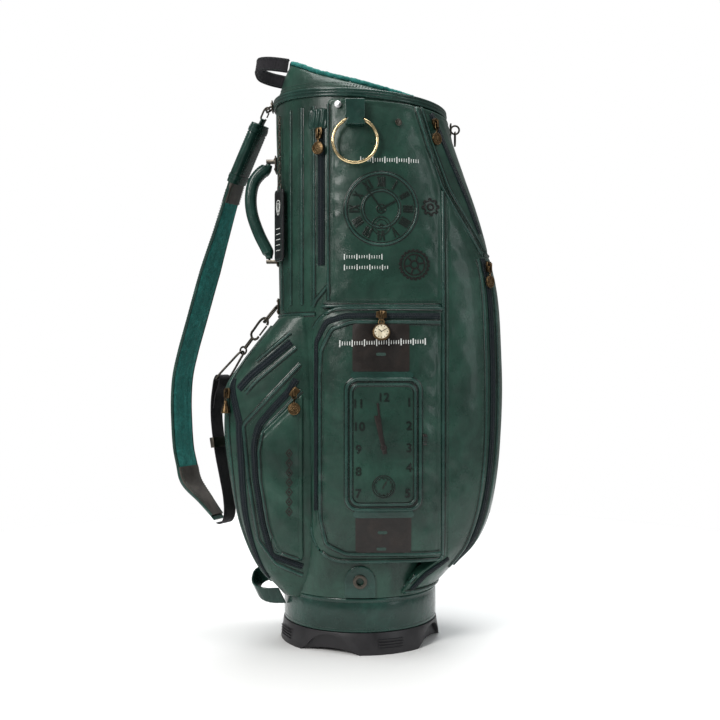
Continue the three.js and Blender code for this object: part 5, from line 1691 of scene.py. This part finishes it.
# ------------------------------------------------------------------ towel ring, foot and inside
def towel_ring():
    a = full_turn(120)
    p = np.stack([-7 + 31.4 * np.cos(a), np.full(120, -134.0), 729 + 31.4 * np.sin(a)], 1)
    verts, faces = wire(p, 2.3, 18, True)
    piece("towel_ring_wire", verts, faces, M["gold"], "towel", "antique_brass", ("towel_ring",))


def foot():
    crisp("base_foot", "base", 1.2)
    # four short moulded ribs over each of the foot's four pads
    parts = Parts()
    for degrees in (22, 112, 202, 292):
        for z in (9, 13, 17, 21):
            a = np.radians(np.linspace(degrees - 9, degrees + 9, 24))
            p = polar(a, np.full(24, 121.0), np.full(24, float(z)))
            out = np.stack([np.cos(a), np.sin(a), 0 * a], 1)
            parts.lay(swept(p, out, flat_section(1.4, 0.8, 0, -1.6)))
    from_parts("foot_ribs", parts, M["base"], slot="base_plastic")


def inside():
    crisp("inner_tube", "liner", 0.0001)
    crisp("divider_curtain", "curtain", 0.3)
    crisp("stay_rod_near", "steel", 0.2)
    crisp("stay_rod_far", "steel", 0.2)
    for node, key in (("base_eyelet", "gunmetal"), ("hood_stud_rear", "steel"),
                      ("hood_stud_front", "gunmetal")):
        crisp(node, key, 0.25)
    soft_copy("floor_plush", "floor_pad", "plush", voxel=2.2, smooth=4,
              rough=(41, 14, 0.25))
    soft_copy("divider_plush", "divider_frame", "plush", voxel=1.7, smooth=7,
              rough=(42, 8, 0.3))


def cuffs():
    ring_piece("cuff_hide", cuff_section, "hide", nodes=("top_cuff",), rough=(51, 80, 0.35))
    ring_piece("band_hide", band_section, "hide_shiny", nodes=("cuff_band",))
    ring_piece("rim_roll", roll_section, "plush", "plush_teal", ("rim_plush",), 420, rough=(52, 6, 0.4))
    # plush facing down the inside of the cuff
    around = 260
    angle = full_turn(around)
    low = cuff_seam(angle) - 12
    top = rim_z(angle) - 4
    rows = []
    for t in np.linspace(0, 1, 16):
        r = mouth_radius(angle) - 6.4 + (rim_radius(angle) - mouth_radius(angle)) * t + 0.6
        rows.append(polar(angle, r - 0.4, low + (top - low) * t))
    verts = np.stack(rows)
    verts = verts + unit(verts * (1, 1, 0)) * (0.35 * ripples(53, 9)(verts))[..., None]
    piece("cuff_lining", verts.reshape(-1, 3), [grid(16, around, True)], M["plush"], slot="plush_teal")


def floor(radius=1.25, sides=96):
    mesh = bpy.data.meshes.new("floor")
    turns = [2 * math.pi * k / sides for k in range(sides)]
    mesh.from_pydata([(radius * math.cos(a), radius * math.sin(a), 0) for a in turns], [],
                     [tuple(range(sides))])
    obj = bpy.data.objects.new("floor", mesh)
    scene.collection.objects.link(obj)
    s = Shader("floor_paper")
    mesh.materials.append(s.done(s.ramp(s.noise(2, 2),
                                        [(0.3, (0.93, 0.93, 0.93)), (0.7, (0.95, 0.95, 0.95))]), 0.7))


# ------------------------------------------------------------------ assembly
def pockets():
    body_shell()
    base_collar()
    rear = rear_pocket()
    side_edge = through([[84, 61], [109, 82], [136, 118], [137, 118.4], [668, 118.4]])
    split = lambda x: np.interp(x, [118, 177, 240], [668, 572.7, 572.7])
    lower = wrapped("front_lower_hide", front_radius, side_edge, lambda x: 84.3 + 0 * x, split, 11,
                    ("front_lower_pocket",), puff=1.4, wrinkle=1.1, sink=15)
    upper_edge = lambda z: np.interp(z, [573.3, 668, 785], [177.5, 119.4, 81.5])
    upper = wrapped("front_upper_hide", front_radius, upper_edge, lambda x: 573.6 + 0 * x,
                    lambda x: 791.4 - 0.07 * x, 12,
                    ("front_upper_pocket",), puff=1.0, wrinkle=0.9, up=90)
    side_outline = rounded_box(-70.5, 117.4, 133, 494, 46, (1, 0, 0, 1), 9)
    panel_outline = [(-46, 525), (-46, 791.6), (80, 785.5), (117.8, 668), (117.8, 496), (-58, 496)]
    for side, word in ((NEAR, "near"), (FAR, "far")):
        panel("side_pocket_hide_" + word, side_outline, swollen(SIDE_BOX, 3.6, 11.5), side,
                            (25, 316), 4,
                            1.8, 1.2, 21 + side, nodes=("side_pocket_" + word,), depth=6)
        panel("upper_panel_hide_" + word, panel_outline, swollen(PANEL_BOX, 0.2, 3.2), side,
                            (32, 645), 2.2,
                            0.9, 0.7, 26 + side, nodes=("upper_pocket_" + word,))
    bend = [(-82, 132), (-104, 133.5), (-121, 146), (-131, 172), (-137, 200), (-142, 232), (-146, 262),
            (-147, 302),
            (-145.5, 311), (-139, 318), (-82, 373)]
    rear_side_panel(bend)


def rear_side_panel(bend):
    outline = resample(soften(bend, 2, True), 2.5, True)
    centre = np.array([-112.0, 250])
    plan = centre + RINGS[:, None, None] * (outline - centre)
    flat = plan.reshape(-1, 2)
    d = edge_distance(flat, outline)
    base = np.stack([flat[:, 0], np.full(len(flat), -97.2), flat[:, 1]], 1)
    n = np.tile([0, -1.0, 0], (len(flat), 1))
    lift = (3.0 + quarter(d, 2.6) + 2.6 * (1 - np.exp(-(d / 13) ** 2)) - 0.7 * np.exp(-((d - 5.5) / 1.4) ** 2)
            + 0.5 * np.clip(d / 10, 0, 1) * ripples(61, 40)(base))
    verts = base + n * lift[:, None]
    cols = len(outline)
    skirt = base[:cols] + n[:cols] * 0.2
    made = Parts().add(verts, grid(len(RINGS), cols, True)).add(np.concatenate([skirt, verts[:cols]]),
                                                                grid(2, cols, True))
    skins.append((verts, grid(len(RINGS), cols, True)))
    return from_parts("rear_side_hide", made, M["hide"], nodes=("rear_side_pocket",))


def rear_side_ornament(skin, trim):
    """A plain chain of lozenges worked down the rear side panel."""
    parts = trim.parts("brown")
    for k in range(7):
        z = 286 - 14 * k
        diamond = [(-102, z - 6), (-97.5, z), (-102, z + 6), (-106.5, z)]
        stroke(skin, parts, diamond, NEAR, 1.3, 0.5, True, 1.5)
        stroke(skin, parts, circle(-102, z, 1.1, 14), NEAR, 1.2, 0.5, True, 0.6)


M = make_materials()
make_camera()
make_lights()
floor()
pockets()
cuffs()
inside()
foot()
soft_copy("tab_hide", "base_tab", "hide_shiny", voxel=0.8, smooth=4)
soft_copy("towel_tab_hide", "towel_loop", "hide_shiny", voxel=0.9, smooth=6, rough=(45, 12, 0.15))
soft_copy("grab_loop_hide", "grab_loop", "hide_shiny", voxel=0.9, smooth=5)
carry_handle()
lift_handle()
shoulder_strap()
strap_metal()
rivets()
tag_trim()
towel_ring()
charms()
skin = Skin()
trim = Trim()
for side in (NEAR, FAR):
    side_trim(skin, trim, side)
    motifs(skin, trim, side)
    garage_flap(side)
round_trim(skin, trim)
rear_side_ornament(skin, trim)
trim.make()
